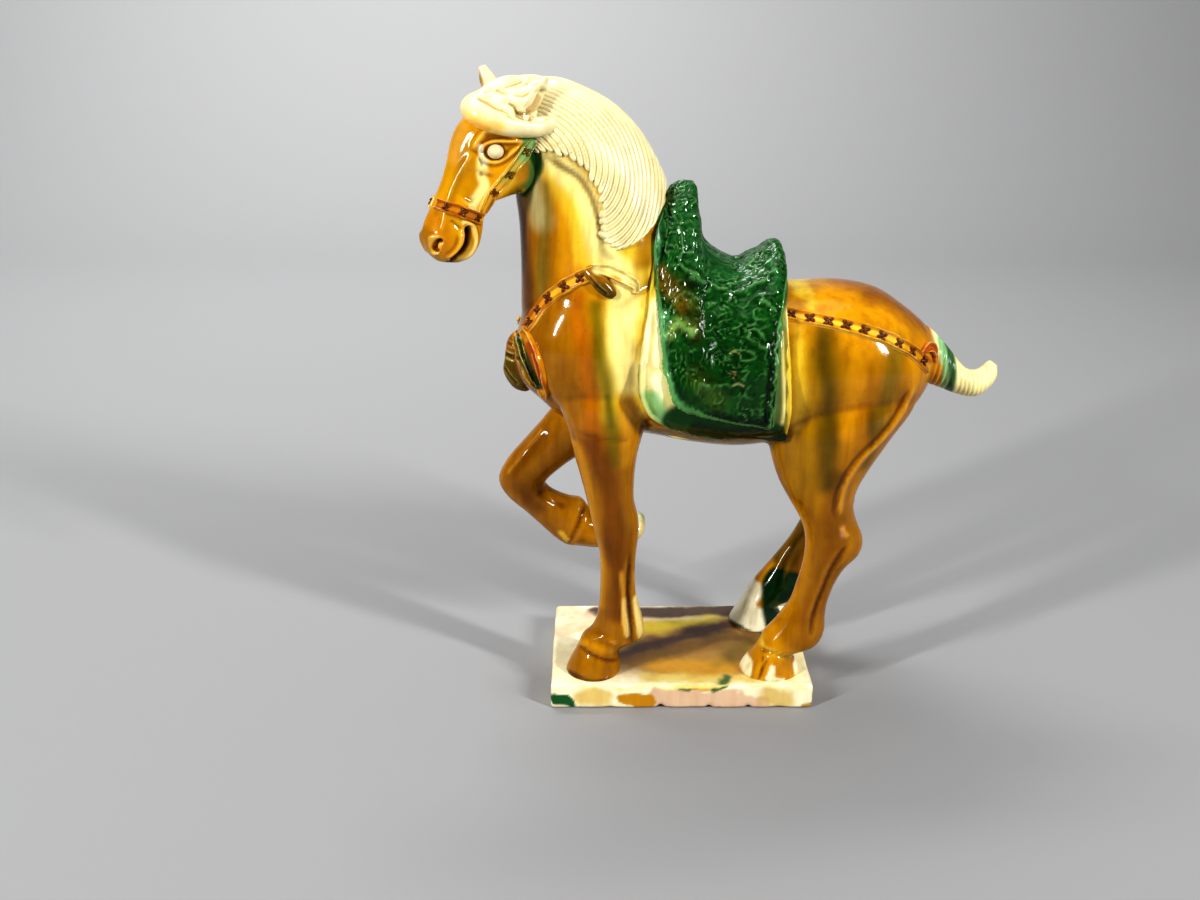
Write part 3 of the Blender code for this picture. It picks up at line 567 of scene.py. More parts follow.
def glaze(obj, base, washes, pool=None, rounds=10, depth=0.25, thin=None, wander=1.6, mottle=(6.0, 0.12)):
    """Lays washes (colour, route, width, softness, side, strength) over a base colour, then lets the
    glaze pool in hollows and thin out on ridges. The mottle is the size and the strength of cloudy spots.
    The result is the mesh's colour attribute."""
    points = points_of(obj)
    warp = np.stack([noise(points * (1, 1, 0.45), 7.0, seed) for seed in (1, 2)], axis=1) * wander
    flat = points[:, [0, 2]] + warp
    colour = np.tile(np.array(base, float), (len(points), 1))
    for tint, route, width, softness, side, strength in washes:
        on_side = 1.0 if side == 0 else fade(side * points[:, 1], -2.5, 2.5)
        weight = (coverage(flat, route, width, softness, strength) * on_side)[:, None]
        colour = colour * (1 - weight) + np.array(tint) * weight
    clouds = noise(points * (1, 1, 0.6), mottle[0], 31) + 0.6 * noise(points, mottle[0] * 0.45, 32)
    colour *= (1 + mottle[1] * clouds)[:, None]
    sunk = hollows(obj, rounds) / depth
    if pool is not None:
        weight = (0.75 * fade(sunk, 0.15, 1.2))[:, None]
        colour = colour * (1 - weight) + colour * np.array(pool) * weight
    if thin is not None:
        weight = (0.6 * fade(-sunk, 0.2, 1.4))[:, None]
        colour = colour * (1 - weight) + np.array(thin) * weight
    keep_colour(obj, colour)
    return obj


# %% The glazes by name
AMBER = shade(162, 110, 1)
DEEP_AMBER = shade(112, 62, 1)
ORANGE = shade(178, 102, 2)
GOLD = shade(176, 120, 4)
HONEY = shade(210, 150, 8)
YELLOW = shade(232, 198, 64)
CREAM = shade(240, 226, 150)
IVORY = shade(240, 232, 190)
WHITE = shade(224, 222, 196)
OLIVE = shade(112, 100, 4)
DARK_OLIVE = shade(66, 56, 3)
UMBER = shade(84, 46, 4)
PURPLE = shade(112, 56, 26)
GREEN = shade(20, 76, 22)
DARK_GREEN = shade(6, 42, 12)
MINT = shade(120, 186, 128)
CLAY = shade(222, 190, 158)
POOL = (0.45, 0.34, 0.25)


# %% [markdown]
# ## The finish
#
# Lead glaze is coloured glass over pale clay. The washes give the colour of each place. On top of them
# the shader draws what is too fine for the mesh: streaks that ran down while the glaze was molten, a
# faint net of crazing, iron specks, and the slow waves that bend the reflections.

# %% One shader for all glazes
def link(tree, start, end):
    """Joins two sockets."""
    tree.links.new(start, end)


def node(tree, kind, **values):
    """Adds a node, with the values of its inputs by name."""
    made = tree.nodes.new(kind)
    for name, value in values.items():
        made.inputs[name.replace("_", " ")].default_value = value
    return made


def pattern(tree, stretch, scale, detail=3.0):
    """A noise that sits on the object and is stretched along its axes."""
    place = tree.nodes.new("ShaderNodeTexCoord")
    mapping = node(tree, "ShaderNodeMapping", Scale=stretch)
    grain = node(tree, "ShaderNodeTexNoise", Scale=scale, Detail=detail)
    link(tree, place.outputs["Object"], mapping.inputs["Vector"])
    link(tree, mapping.outputs["Vector"], grain.inputs["Vector"])
    return grain.outputs["Fac"]


def ramp(tree, value, stops):
    """Colours or greys along a value."""
    made = tree.nodes.new("ShaderNodeValToRGB")
    link(tree, value, made.inputs["Fac"])
    while len(made.color_ramp.elements) < len(stops):
        made.color_ramp.elements.new(0.5)
    for element, (position, grey) in zip(made.color_ramp.elements, stops):
        element.position = position
        element.color = (*grey, 1) if isinstance(grey, tuple) else (grey, grey, grey, 1)
    return made.outputs["Color"]


def tinted(tree, strength, colour, tint):
    """A colour multiplied by a tint, as strongly as it says."""
    made = tree.nodes.new("ShaderNodeMix")
    made.data_type = "RGBA"
    made.blend_type = "MULTIPLY"
    made.inputs["Factor"].default_value = strength
    link(tree, colour, made.inputs["A"])
    link(tree, tint, made.inputs["B"])
    return made.outputs["Result"]


def lead_glaze(name, streaks, streak_colour, roughness, wave, crazing=0.0):
    """A glaze whose colour comes from the mesh, with streaks, specks, crazing and slow waves."""
    made = bpy.data.materials.new(name)
    made.use_nodes = True
    tree = made.node_tree
    shader = tree.nodes["Principled BSDF"]
    paint = tree.nodes.new("ShaderNodeAttribute")
    paint.attribute_name = "glaze"
    runs = ramp(tree, pattern(tree, (1, 1, 0.10), 260, 3.0), [(0.42, 1.0), (0.72, streak_colour)])
    streaked = tinted(tree, streaks, paint.outputs["Color"], runs)
    specks = ramp(tree, pattern(tree, (1, 1, 1), 1500, 1.0), [(0.74, 1.0), (0.78, (0.42, 0.27, 0.14))])
    colour = tinted(tree, 0.8, streaked, specks)
    if crazing:
        cells = tree.nodes.new("ShaderNodeTexVoronoi")
        cells.feature = "DISTANCE_TO_EDGE"
        cells.inputs["Scale"].default_value = 330
        link(tree, tree.nodes.new("ShaderNodeTexCoord").outputs["Object"], cells.inputs["Vector"])
        net = ramp(tree, cells.outputs["Distance"], [(0.0, (0.62, 0.5, 0.34)), (0.035, 1.0)])
        colour = tinted(tree, crazing, colour, net)
    link(tree, colour, shader.inputs["Base Color"])
    shader.inputs["Roughness"].default_value = roughness
    shader.inputs["IOR"].default_value = 1.5
    shader.inputs["Specular IOR Level"].default_value = 0.34
    bump = node(tree, "ShaderNodeBump", Strength=wave, Distance=0.0006)
    link(tree, pattern(tree, (1, 1, 1), 190, 1.5), bump.inputs["Height"])
    link(tree, bump.outputs["Normal"], shader.inputs["Normal"])
    return made


COAT_GLAZE = lead_glaze("amber_runs", 0.6, (0.62, 0.50, 0.34), 0.11, 0.22)
FACE_GLAZE = lead_glaze("honey_face_glaze", 0.3, (0.7, 0.52, 0.34), 0.14, 0.2)
CREAM_GLAZE = lead_glaze("ivory_hair_glaze", 0.35, (0.94, 0.84, 0.64), 0.24, 0.15, 0.12)
SADDLE_GLAZE = lead_glaze("green_saddle_glaze", 0.5, (0.5, 0.62, 0.45), 0.10, 0.3)
TRIM_GLAZE = lead_glaze("harness_glaze", 0.6, (0.72, 0.55, 0.36), 0.15, 0.2)
print("glazes:", ", ".join(m.name for m in (COAT_GLAZE, FACE_GLAZE, CREAM_GLAZE, SADDLE_GLAZE, TRIM_GLAZE)))


# %% Putting a finished piece on the plinth
def place(obj, material, stands_for_node=False):
    """Turns the piece from millimetres above the soles into metres above the floor, and puts it on the
    figure's root body.
    """
    obj.data.transform(Matrix.Scale(MM, 4) @ Matrix.Translation((0, 0, PLINTH_THICKNESS)))
    obj.data.materials.clear()
    obj.data.materials.append(material)
    obj.data.shade_smooth()
    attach(obj, "root")
    if stands_for_node:
        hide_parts(NODE)
    triangles = sum(len(face.vertices) - 2 for face in obj.data.polygons)
    print(f"{obj.name}: {triangles} triangles")
    return obj


# %% [markdown]
# ## The body
#
# Trunk, neck and legs grow into one skin. Sinews, the shoulder's edge and the coronets over the hooves
# are pressed and pinched in afterwards, so they stay as crisp as a mould leaves them.

# %% Grow the body
body = fuse("horse_body", [
    loft("trunk", TRUNK), loft("neck", NECK), loft("raised_foreleg", RAISED_FORE),
    standing_leg("near_foreleg", NEAR_FORE), standing_leg("near_hind_leg", NEAR_HIND),
    standing_leg("far_hind_leg", FAR_HIND),
], voxel=1.04, soften=10)

# %% Sinews, creases and coronets
NEAR, FAR, FAR_LIMBS = -1, 1, 2
BODY_STROKES = [
    ([(-53, 211), (-48, 208), (-41.8, 203.6), (-37.6, 198), (-35.2, 192), (-33.6, 185), (-32.6, 178.5)],
     2.0, -0.9, 0),
    ([(-63, 132), (-55.5, 124), (-50, 115), (-46, 108), (-43.6, 102)], 1.8, -0.8, NEAR),
    ([(-46, 109), (-34, 107), (-21, 105)], 1.2, -0.35, NEAR),
    ([(-20, 150), (-22, 130), (-20, 116), (-15, 106)], 3.0, -0.8, NEAR),
    ([(-21.4, 58), (-22.0, 44), (-22.2, 34), (-21.4, 25), (-21.4, 15.5)], 0.8, -1.2, NEAR),
    ([(-25.6, 50), (-24.6, 38), (-24.0, 28), (-23.2, 18)], 1.2, 0.6, NEAR),
    ([(-19.2, 48), (-18.8, 36), (-18.2, 26), (-17.2, 16)], 1.2, 0.6, NEAR),
    ([(-42.6, 12.4), (-36, 10.4), (-27, 7)], 0.8, -0.7, NEAR),
    ([(-38.6, 16.5), (-32, 18), (-26, 16)], 1.0, 0.45, NEAR),
    ([(88, 130), (84.6, 121), (80.4, 113.5), (74.6, 106), (67.5, 99), (62.4, 90), (60.6, 80), (61.6, 71)],
     1.5, 1.0, 0),
    ([(85.6, 128), (81.6, 119), (77.2, 112), (71.6, 105.4), (65, 98.4), (60, 89), (58, 79), (59, 70)],
     1.0, -0.9, 0),
    ([(65.4, 62), (60.2, 52), (56.6, 39), (53.4, 27), (53, 17.5)], 1.0, -1.1, NEAR),
    ([(62.2, 68), (64, 65)], 1.6, 0.8, NEAR),
    ([(32, 11), (38, 11.8), (46, 7.6)], 0.8, -0.8, NEAR),
    ([(35.4, 9.4), (33, 4), (31.8, 0)], 0.7, -0.6, NEAR),
    ([(45, 78), (47.6, 66)], 1.6, -0.6, NEAR),
    ([(56, 48), (50, 38), (46, 28), (44, 18)], 1.0, -0.8, FAR_LIMBS),
    ([(-56, 96), (-62, 89), (-68, 81), (-74, 73)], 1.4, 0.7, FAR_LIMBS),
    ([(-48, 59), (-54, 62), (-60, 68)], 1.4, -0.6, FAR_LIMBS),
    ([(-39.5, 59), (-42.5, 53), (-45.5, 46), (-48, 40)], 1.0, -0.9, FAR_LIMBS),
    ([(-29, 39), (-28, 53)], 0.9, -0.6, FAR_LIMBS),
]
carve(body, BODY_STROKES)
body_tree = search_tree(body)
print("strokes pressed into the body:", len(BODY_STROKES))

# %% Glaze on the body
BODY_WASHES = [
    (HONEY, [(-30, 190), (-26, 160)], 14, 12, 0, 0.7),
    (shade(164, 122, 4), [(42, 140), (46, 122), (50, 106), (54, 92)], 13, 16, 0, 0.9),
    (GOLD, [(62, 120), (64, 104), (60, 84)], 9, 12, 0, 0.7),
    (shade(208, 148, 12), [(44, 154), (60, 152), (76, 146), (88, 134)], 9, 12, 0, 0.85),
    (GOLD, [(-44, 112), (-36, 96), (-33, 80)], 6, 9, 0, 0.5),
    (YELLOW, [(-20, 178), (-22, 163), (-25, 150), (-25, 139), (-24.6, 128), (-24, 118)], 8.0, 7, 0, 1.0),
    (CREAM, [(-25, 170), (-24, 160), (-25.6, 150), (-25, 139), (-23, 130)], 5.2, 6, 0, 0.9),
    (AMBER, [(-18, 190), (-17, 182), (-17.4, 174)], 3.0, 4, 0, 0.8),
    (CREAM, [(-12, 204), (-11.4, 196), (-12.6, 190)], 3.4, 2.4, 0, 0.95),
    (HONEY, [(-24, 120), (-23, 108), (-24, 98)], 4.0, 6, 0, 0.8),
    (OLIVE, [(-34.6, 158), (-34.4, 147), (-32.4, 137), (-30.6, 126), (-29.6, 115), (-29.0, 104), (-28.6, 96)],
     2.3, 4.4, 0, 0.85),
    (DARK_OLIVE, [(-31, 124), (-29.6, 112)], 1.2, 3, 0, 0.5),
    (ORANGE, [(-41, 160), (-40.6, 144), (-39.4, 130), (-37, 115), (-35, 98)], 2.8, 5, 0, 0.7),
    (DEEP_AMBER, [(-36, 104), (-31, 88), (-28, 70), (-27, 48), (-27, 30)], 4.4, 6, 0, 0.85),
    (HONEY, [(-43, 102), (-38.6, 84), (-35.4, 66), (-33.4, 48), (-34, 32)], 1.6, 3.4, 0, 0.6),
    (DEEP_AMBER, [(-58, 92), (-70, 74), (-60, 60)], 3.4, 6, 0, 0.6),
    (DEEP_AMBER, [(58, 90), (58, 72), (60, 56), (56, 40), (50, 28)], 4.0, 6, 0, 0.6),
    (HONEY, [(43, 78), (48.6, 60), (47.6, 44), (43, 30), (38, 20)], 1.8, 3.4, 0, 0.6),
    (HONEY, [(-49, 200), (-46, 188), (-45, 178), (-45, 170)], 5.0, 7, 0, 0.8),
    (YELLOW, [(-50, 204), (-44, 196), (-40, 186), (-38, 176)], 4.6, 6, 0, 0.8),
    (CREAM, [(-50, 209), (-42, 202), (-36, 192), (-33, 180), (-29, 172)], 4.4, 5, 0, 0.95),
    (shade(190, 184, 136), [(-60, 206), (-58, 196), (-55.6, 188)], 3.8, 7.6, 0, 0.85),
    (shade(120, 110, 44), [(-53.4, 200), (-52.8, 190), (-54.4, 180), (-55.4, 168), (-56.4, 158)],
     1.7, 4.4, 0, 0.75),
    # Painted shade: a grey line along the crease pressed down the neck.
    (shade(176, 166, 112), [(-53.2, 211), (-48.2, 208.2), (-41.8, 204.2), (-37.4, 198.7),
      (-34.9, 192.6), (-33, 186), (-32.4, 179.2), (-29.8, 174.8)],
     1.0, 1.6, 0, 0.85),
    (UMBER, [(-67, 198), (-64.6, 186), (-63.0, 174), (-62.4, 162), (-63, 150)], 3.6, 4.4, 0, 0.85),
    (UMBER, [(-67, 132), (-58, 116)], 4, 6, 0, 0.5),
    (shade(24, 74, 34), [(-57.5, 213), (-55.8, 208), (-58, 202.5), (-62, 198)], 2.2, 1.4, 0, 0.95),
    (PURPLE, [(58, 162), (70, 160), (84, 152), (92, 145)], 2.6, 5, 0, 0.55),
    (YELLOW, [(42, 160), (47, 158.5)], 2.4, 3, 0, 0.9),
    (YELLOW, [(41, 148), (41.6, 130), (42.4, 112)], 2.0, 4, 0, 0.6),
    (DARK_OLIVE, [(49.6, 147), (51.2, 130), (53, 112), (54, 99), (55, 88)], 3.4, 7, 0, 0.8),
    (HONEY, [(60, 146), (62, 128), (60, 110)], 3.0, 6, 0, 0.55),
    (shade(112, 98, 24), [(78, 142), (76, 126), (73, 112)], 3.8, 6, 0, 0.7),
    (DARK_OLIVE, [(70, 118), (72, 106), (68, 94)], 1.8, 5, 0, 0.6),
    (OLIVE, [(-10, 104), (14, 101), (30, 100)], 5, 6, 0, 0.5),
    (shade(84, 64, 4), [(47, 76), (54, 62), (50, 46), (46, 34)], 7, 5, FAR, 0.9),
    (WHITE, [(27, 10), (31, 5), (36, 2)], 8.0, 1.6, FAR, 0.95),
    (WHITE, [(31, 11), (35, 17)], 4.0, 1.6, FAR, 0.9),
    (DARK_GREEN, [(47.4, 19), (47.6, 10), (49.6, 2)], 9.4, 1.8, FAR, 1.0),
    (DARK_GREEN, [(24, 0), (40, 0)], 0.9, 0.8, FAR, 0.85),
    # Painted highlights: cream along the two tendon ridges of the near foreleg. Painted shade: umber in the
    # groove between them.
    (CREAM, [(-24.6, 36), (-24, 28), (-23.2, 21)], 1.1, 1.2, NEAR, 0.9),
    (CREAM, [(-18.8, 34), (-18.2, 26), (-17.2, 18)], 1.4, 1.4, NEAR, 0.9),
    (UMBER, [(-21.6, 50), (-22.2, 36), (-21.5, 25), (-21.6, 17)], 0.5, 0.9, NEAR, 0.8),
    (HONEY, [(30, 18), (36, 12), (38, 3)], 9, 5, NEAR, 0.7),
    # Painted highlight: a yellow line along the coronet of the near hind hoof.
    (YELLOW, [(31, 12.4), (38, 13.2), (46, 9.4)], 1.2, 1.8, NEAR, 0.7),
    (shade(250, 240, 200), [(27.6, 5.4), (26.8, 0.4)], 1.5, 0.9, NEAR, 0.95),
    (shade(250, 240, 200), [(37.6, 6), (37.0, 2)], 1.2, 0.8, NEAR, 0.95),
    (shade(250, 240, 200), [(36.4, 0.8), (41.4, 0.8)], 1.5, 0.8, NEAR, 0.95),
    (CLAY, [(39.6, 0.4), (42.6, 0.4)], 1.0, 0.6, NEAR, 0.9),
    (shade(250, 240, 200), [(48.4, 5), (49.2, 0.6)], 1.3, 0.9, NEAR, 0.95),
    # Painted shade: a dark line where the near forehoof meets the plinth.
    (shade(66, 32, 4), [(-49, -0.8), (-24, -0.8)], 2.0, 1.2, NEAR, 0.85),
    (shade(86, 44, 6), [(34, 9.6), (33, 4), (31.8, 0)], 0.35, 0.6, NEAR, 0.7),
    (shade(86, 44, 6), [(-42, 11.8), (-36, 10.0), (-27, 6.6)], 0.35, 0.7, NEAR, 0.7),
    (HONEY, [(-46, 12), (-40, 14), (-30, 12)], 1.4, 2, NEAR, 0.6),
    (shade(220, 224, 176), [(-26, 46), (-15, 48)], 7.4, 2.4, FAR, 0.95),
    (YELLOW, [(-51, 46), (-49, 43)], 1.6, 1.4, FAR, 0.8),
    (shade(190, 140, 110), [(62.4, 68.4), (63, 65)], 1.1, 1.2, NEAR, 0.8),
]
glaze(body, AMBER, BODY_WASHES, pool=POOL, rounds=12, depth=0.35, thin=shade(226, 170, 60))
place(body, COAT_GLAZE, stands_for_node=True)


# %% [markdown]
# ## The head
#
# The head turns toward the viewer, so it is made facing straight ahead, where both of its sides can be
# worked alike, and is turned at the end. Nostrils and the slanted open mouth are cut, and the brow, the
# lids and the ridge down the nose are pinched up.

# %% Grow the head
HEAD_TURN = math.radians(30)
HEAD_FRAME = Matrix.Translation((-60, 0, 0)) @ Matrix.Rotation(HEAD_TURN + math.pi, 4, "Z")
head = fuse("horse_head", [loft("head", HEAD, steps=10, sides=96, squareness=JAW_SQUARENESS)],
            FINE_VOXEL, 8)
HEAD_STROKES = [
    ([(27, 215), (29.4, 210), (32.3, 205), (35.8, 198), (38, 193.4), (39.8, 187.8), (41.6, 183.6)],
     1.2, 0.8, 0),
    ([(24, 207), (26.6, 200), (30.6, 195)], 3.4, -1.1, 0),
    ([(27.0, 213.6), (26.2, 216.4), (24.2, 219.2), (21.8, 220.8), (18.0, 220.4), (9.6, 216.6)], 1.1, 1.7, 0),
    ([(20.2, 213.6)], 3.9, -1.6, 0),
    ([(26.2, 212.6), (24.2, 215.8), (21.4, 217.0), (17.6, 217.2), (9.4, 216.6)], 0.65, 1.4, 0),
    ([(26.0, 213.6), (24.0, 210.8), (20.4, 209.8), (16.4, 211.8), (10.4, 217.0)], 0.65, 1.4, 0),
    ([(25.8, 216), (25.2, 210), (25.6, 204)], 0.6, -0.4, 0),
    ([(12, 214), (7, 208), (6.5, 202), (11, 197.6)], 2.4, 1.1, 0),
    ([(2.4, 214), (1.6, 206), (3.4, 199.4)], 1.6, -0.9, 0),
    ([(41.2, 183.6), (43.8, 183.4), (44.6, 180.6), (43.6, 177.6), (41.2, 177.4)], 0.9, 0.8, 0),
    ([(40.6, 182.0), (41.8, 182.4), (42.8, 181.0), (42.9, 179.2), (41.6, 178.0)], 0.6, -2.6, 0),
    ([(32.4, 188.4), (29.0, 186.8), (27.8, 182.6), (28.8, 178.6), (32.6, 173.6)], 0.8, 1.1, 0),
    ([(31.2, 187.4), (30.8, 184), (31.4, 180.6), (33.6, 177.2), (37.6, 173.6)], 1.1, -3.4, 0),
    ([(34.0, 187), (34.2, 182), (36.2, 178.4), (39.4, 175.4)], 0.9, 0.8, 0),
    ([(37.4, 190), (34.6, 187), (33.4, 184)], 0.9, -0.5, 0),
    ([(24, 196), (29, 197)], 1.6, -0.4, 0),
]
carve(head, HEAD_STROKES)
apply_modifier(head, "SMOOTH", factor=0.5, iterations=2)

# %% Glaze on the head, still facing ahead, then turn it
EYE_OUTLINE = [(20.2 + 3.3 * math.cos(turn), 213.6 + 2.9 * math.sin(turn))
               for turn in np.linspace(0, 6.2, 12)]
HEAD_WASHES = [
    (HONEY, [(20, 208), (20, 200), (24, 196)], 5, 4, 0, 0.8),
    (YELLOW, [(15, 203), (20, 198), (25, 192)], 2.4, 3, 0, 0.7),
    (shade(214, 160, 70), [(30, 222), (34, 212)], 2.6, 4, 0, 0.6),
    (UMBER, [(29, 216), (33, 204), (37, 194)], 1.0, 2.4, 0, 0.35),
    (CREAM, [(24.6, 210.4), (25, 205), (24.4, 201), (27.6, 196), (28.8, 193.6)], 1.7, 1.6, 0, 0.95),
    (WHITE, [(25.2, 215.4), (24.6, 212), (24, 209)], 0.9, 0.9, 0, 0.9),
    (IVORY, [(-3, 214), (2, 222), (10, 227)], 5, 4, 0, 1.0),
    (shade(70, 120, 56), [(6.4, 214), (4.6, 208), (4.4, 203), (6.4, 199)], 3.8, 2.6, 0, 0.95),
    (shade(20, 70, 32), [(5.4, 211), (3.2, 206), (3.0, 202), (5.0, 198)], 2.6, 2.0, 0, 0.95),
    (MINT, [(9.4, 217), (5.4, 215.4)], 1.5, 1.4, 0, 0.9),
    (OLIVE, [(9.6, 200), (13, 197.6)], 1.8, 2.4, 0, 0.7),
    (shade(188, 118, 6), [(42, 190), (40, 180)], 4, 5, 0, 0.6),
    (UMBER, [(45, 186), (45.4, 178), (41, 173)], 1.4, 3, 0, 0.45),
    (CREAM, [(32.4, 188.6), (28.8, 186.8), (27.6, 182.6), (28.8, 178.4), (32.6, 174)], 0.8, 1.0, 0, 0.8),
    # Painted shade: dark inside the cut mouth and the nostril, and along the underside of the chin.
    (shade(84, 42, 8), [(31.2, 187.4), (30.8, 184), (31.4, 180.6), (33.6, 177.2), (37.6, 173.6)],
     1.05, 0.8, 0, 1.0),
    (shade(92, 46, 6), [(40.6, 182.0), (41.8, 182.4), (42.8, 181.0), (42.9, 179.2), (41.6, 178.0)],
     0.5, 0.6, 0, 0.95),
    (shade(66, 40, 12), [(31, 172), (37, 172)], 1.6, 1.6, 0, 0.9),
    (shade(112, 60, 6), EYE_OUTLINE, 0.45, 0.5, 0, 0.85),
    (shade(120, 66, 8), [(24.6, 216.4), (21.4, 217.8), (17.6, 218.0), (9.8, 217.4)], 0.4, 0.7, 0, 0.7),
]
glaze(head, shade(200, 146, 5), HEAD_WASHES, pool=POOL, rounds=10, depth=0.16,
      thin=shade(240, 196, 96), wander=0.6)
head.data.transform(HEAD_FRAME)
head_tree = search_tree(head)

# %% Eyes: a ball for each, pushed into its socket
EYE_PLACE, EYE_RADIUS = (20.2, 11.9, 213.6), 2.85
balls = []
for side in (1, -1):
    bpy.ops.object.select_all(action="DESELECT")
    forward, out, height = EYE_PLACE
    bpy.ops.mesh.primitive_uv_sphere_add(segments=48, ring_count=24, radius=EYE_RADIUS)
    ball = bpy.context.active_object
    ball.data.transform(Matrix.Diagonal((1.06, 1.0, 0.92, 1)))
    ball.data.transform(HEAD_FRAME @ Matrix.Translation((forward, side * out, height)))
    balls.append(ball)
select_only(*balls)
bpy.ops.object.join()
eyes = bpy.context.view_layer.objects.active
eyes.name = eyes.data.name = "horse_eyes"
glaze(eyes, shade(222, 208, 168), [], rounds=2)


# %% [markdown]
# ## The mane
#
# The combed mane is a fan. Its locks leave the crest almost along it, curve round the same middle, and
# end in round finger tips on the front edge. So each point of the mane is asked how far it lies from the
# fan's middle and which lock it belongs to, and the lift follows from that: a rim along both edges of a
# lock, a shallow trough between the rims, and nothing beyond the tip.

# %% The fan of locks
FAN_MIDDLE = np.array((-54.5, 187.0))
FAN_INNER, FAN_OUTER = 23.4, 47.5
LOCK_ANGLE = math.radians(6.3)
LOCK_SWEEP, EDGE_SWEEP = math.radians(78), math.radians(40)
FIRST_TIP = math.radians(-24)
LAST_TIP = math.radians(96)
MANE_LIFT, LOCK_RIM, LOCK_TROUGH = 2.3, 0.55, 0.5
HIDDEN = -1.6


def mane_lift(flat):
    """How far the mane stands off the neck at each point of the side view."""
    away = flat - FAN_MIDDLE
    radius, turn = np.linalg.norm(away, axis=-1), np.arctan2(away[..., 1], away[..., 0])
    share = np.clip((radius - FAN_INNER) / (FAN_OUTER - FAN_INNER), 0, 1)
    lock = (turn - LOCK_SWEEP * (0.35 * share + 0.65 * share ** 2) - FIRST_TIP) / LOCK_ANGLE
    slant = LOCK_SWEEP * (0.35 + 1.3 * share) * radius / (FAN_OUTER - FAN_INNER)
    from_end = (turn - EDGE_SWEEP * (0.65 * share + 0.35 * share ** 4) - FIRST_TIP) / LOCK_ANGLE
    low = np.clip(1 - lock / 3, 0, 1)
    tip = FAN_INNER + 5.0 * low ** 1.5 + 0.6 * np.sin(np.floor(lock) * 2.4)
    tip -= 2.4 * fade(lock, -0.5, 2.0) * (1 - fade(lock, 4.0, 9.0)) - 2.0 * fade(lock, 9.0, 13.0)
    half = LOCK_ANGLE * np.maximum(radius, FAN_INNER) / 2 / np.sqrt(1 + slant ** 2)
    across = (lock - np.floor(lock) - 0.5) * 2 * half
    along = radius - tip
    inside = half - np.where(along < half, np.hypot(half - along, across), np.abs(across))
    combed = 1 - share ** 5
    edge = fade(inside, 0.0, 0.55)
    lift = MANE_LIFT * (0.5 + 0.5 * fade(along, 0.0, 13.0)) - combed * (LOCK_RIM + 0.25) * (1 - edge)
    lift -= combed * LOCK_TROUGH * fade(inside, 0.45, half)
    in_fan = (along > -0.6) & (from_end > 0)
    drop = np.where(in_fan, 1.0, 0.0) * np.where(along < half, fade(inside, -0.5, 0.35), 1.0)
    top = 1 - fade(turn, LAST_TIP, LAST_TIP + 0.15)
    return HIDDEN + (lift - HIDDEN) * drop * fade(from_end, 0.0, 0.14) * top


MANE_TURNS = np.radians(np.linspace(66, 294, 228))
mane_rows = smooth(NECK, 36)
mane_base = rings(mane_rows, MANE_TURNS, 1.0)
mane = skin("horse_mane", rings(mane_rows, MANE_TURNS, mane_lift(mane_base[..., [0, 2]])))
apply_modifier(mane, "SMOOTH", factor=0.5, iterations=1)
MANE_WASHES = [
    (shade(238, 190, 84), [(-28, 175), (-20, 176), (-14, 180)], 2.6, 3, 0, 0.8),
    (MINT, [(-11, 190), (-11, 182)], 1.6, 2, 0, 0.5),
]
glaze(mane, shade(232, 222, 176), MANE_WASHES, pool=(0.66, 0.5, 0.26), rounds=6, depth=0.14, wander=0.5)
place(mane, CREAM_GLAZE)


# %% [markdown]
# ## Forelock and ears
#
# On each side a thick lock rolls over the forehead and sweeps back under the ear. Ears and hair are
# round forms that grow into each other, with the parting lines pressed in.

# %% Hair on the head: forward of the poll, height, side, radius
POLL_HAIR = [(15, 231.6, 0, 4.4), (8, 233.2, 0, 5.0), (-2, 233.6, 0, 5.2), (-9, 231.0, 0, 5.0)]
SIDE_LOCK = [
    (4, 234.0, 2.0, 4.0),
    (13, 233.6, 3.0, 5.0),
    (20.6, 229.6, 4.6, 5.2),
    (25.0, 227.8, 6.6, 4.8),
    (24.0, 226.0, 10.4, 4.5),
    (19.0, 223.8, 13.0, 4.2),
    (12, 222.2, 14.4, 3.9),
    (5, 221.8, 15.2, 3.7),
    (-2, 222.4, 15.0, 3.3),
]
FOREHEAD_HAIR = [(0, 230.0, 5.0, 5.4), (8, 229.4, 6.6, 5.8), (16, 228.2, 7.0, 5.6), (22, 227.2, 6.0, 4.8)]
NEAR_EAR = [
    (14.0, 227.0, 9.6, 4.6), (10.4, 229.2, 11.6, 5.6), (6.2, 232.0, 12.8, 4.9), (2.8, 235.4, 13.8, 3.0),
    (0.0, 239.0, 14.0, 0.9),
]
FAR_EAR = [(8.5, 229, -9.5, 3.6), (10, 233, -11, 3.6), (11.8, 237.4, -12, 3.0), (13.2, 241.6, -12.4, 1.5)]
FAR_SETBACK = 5.5


def head_tube(name, route, mirror=1, setback=0.0):
    """A tube in the head's own frame."""
    return tube(name, [(forward - setback, mirror * side, height, radius)
                       for forward, height, side, radius in route])


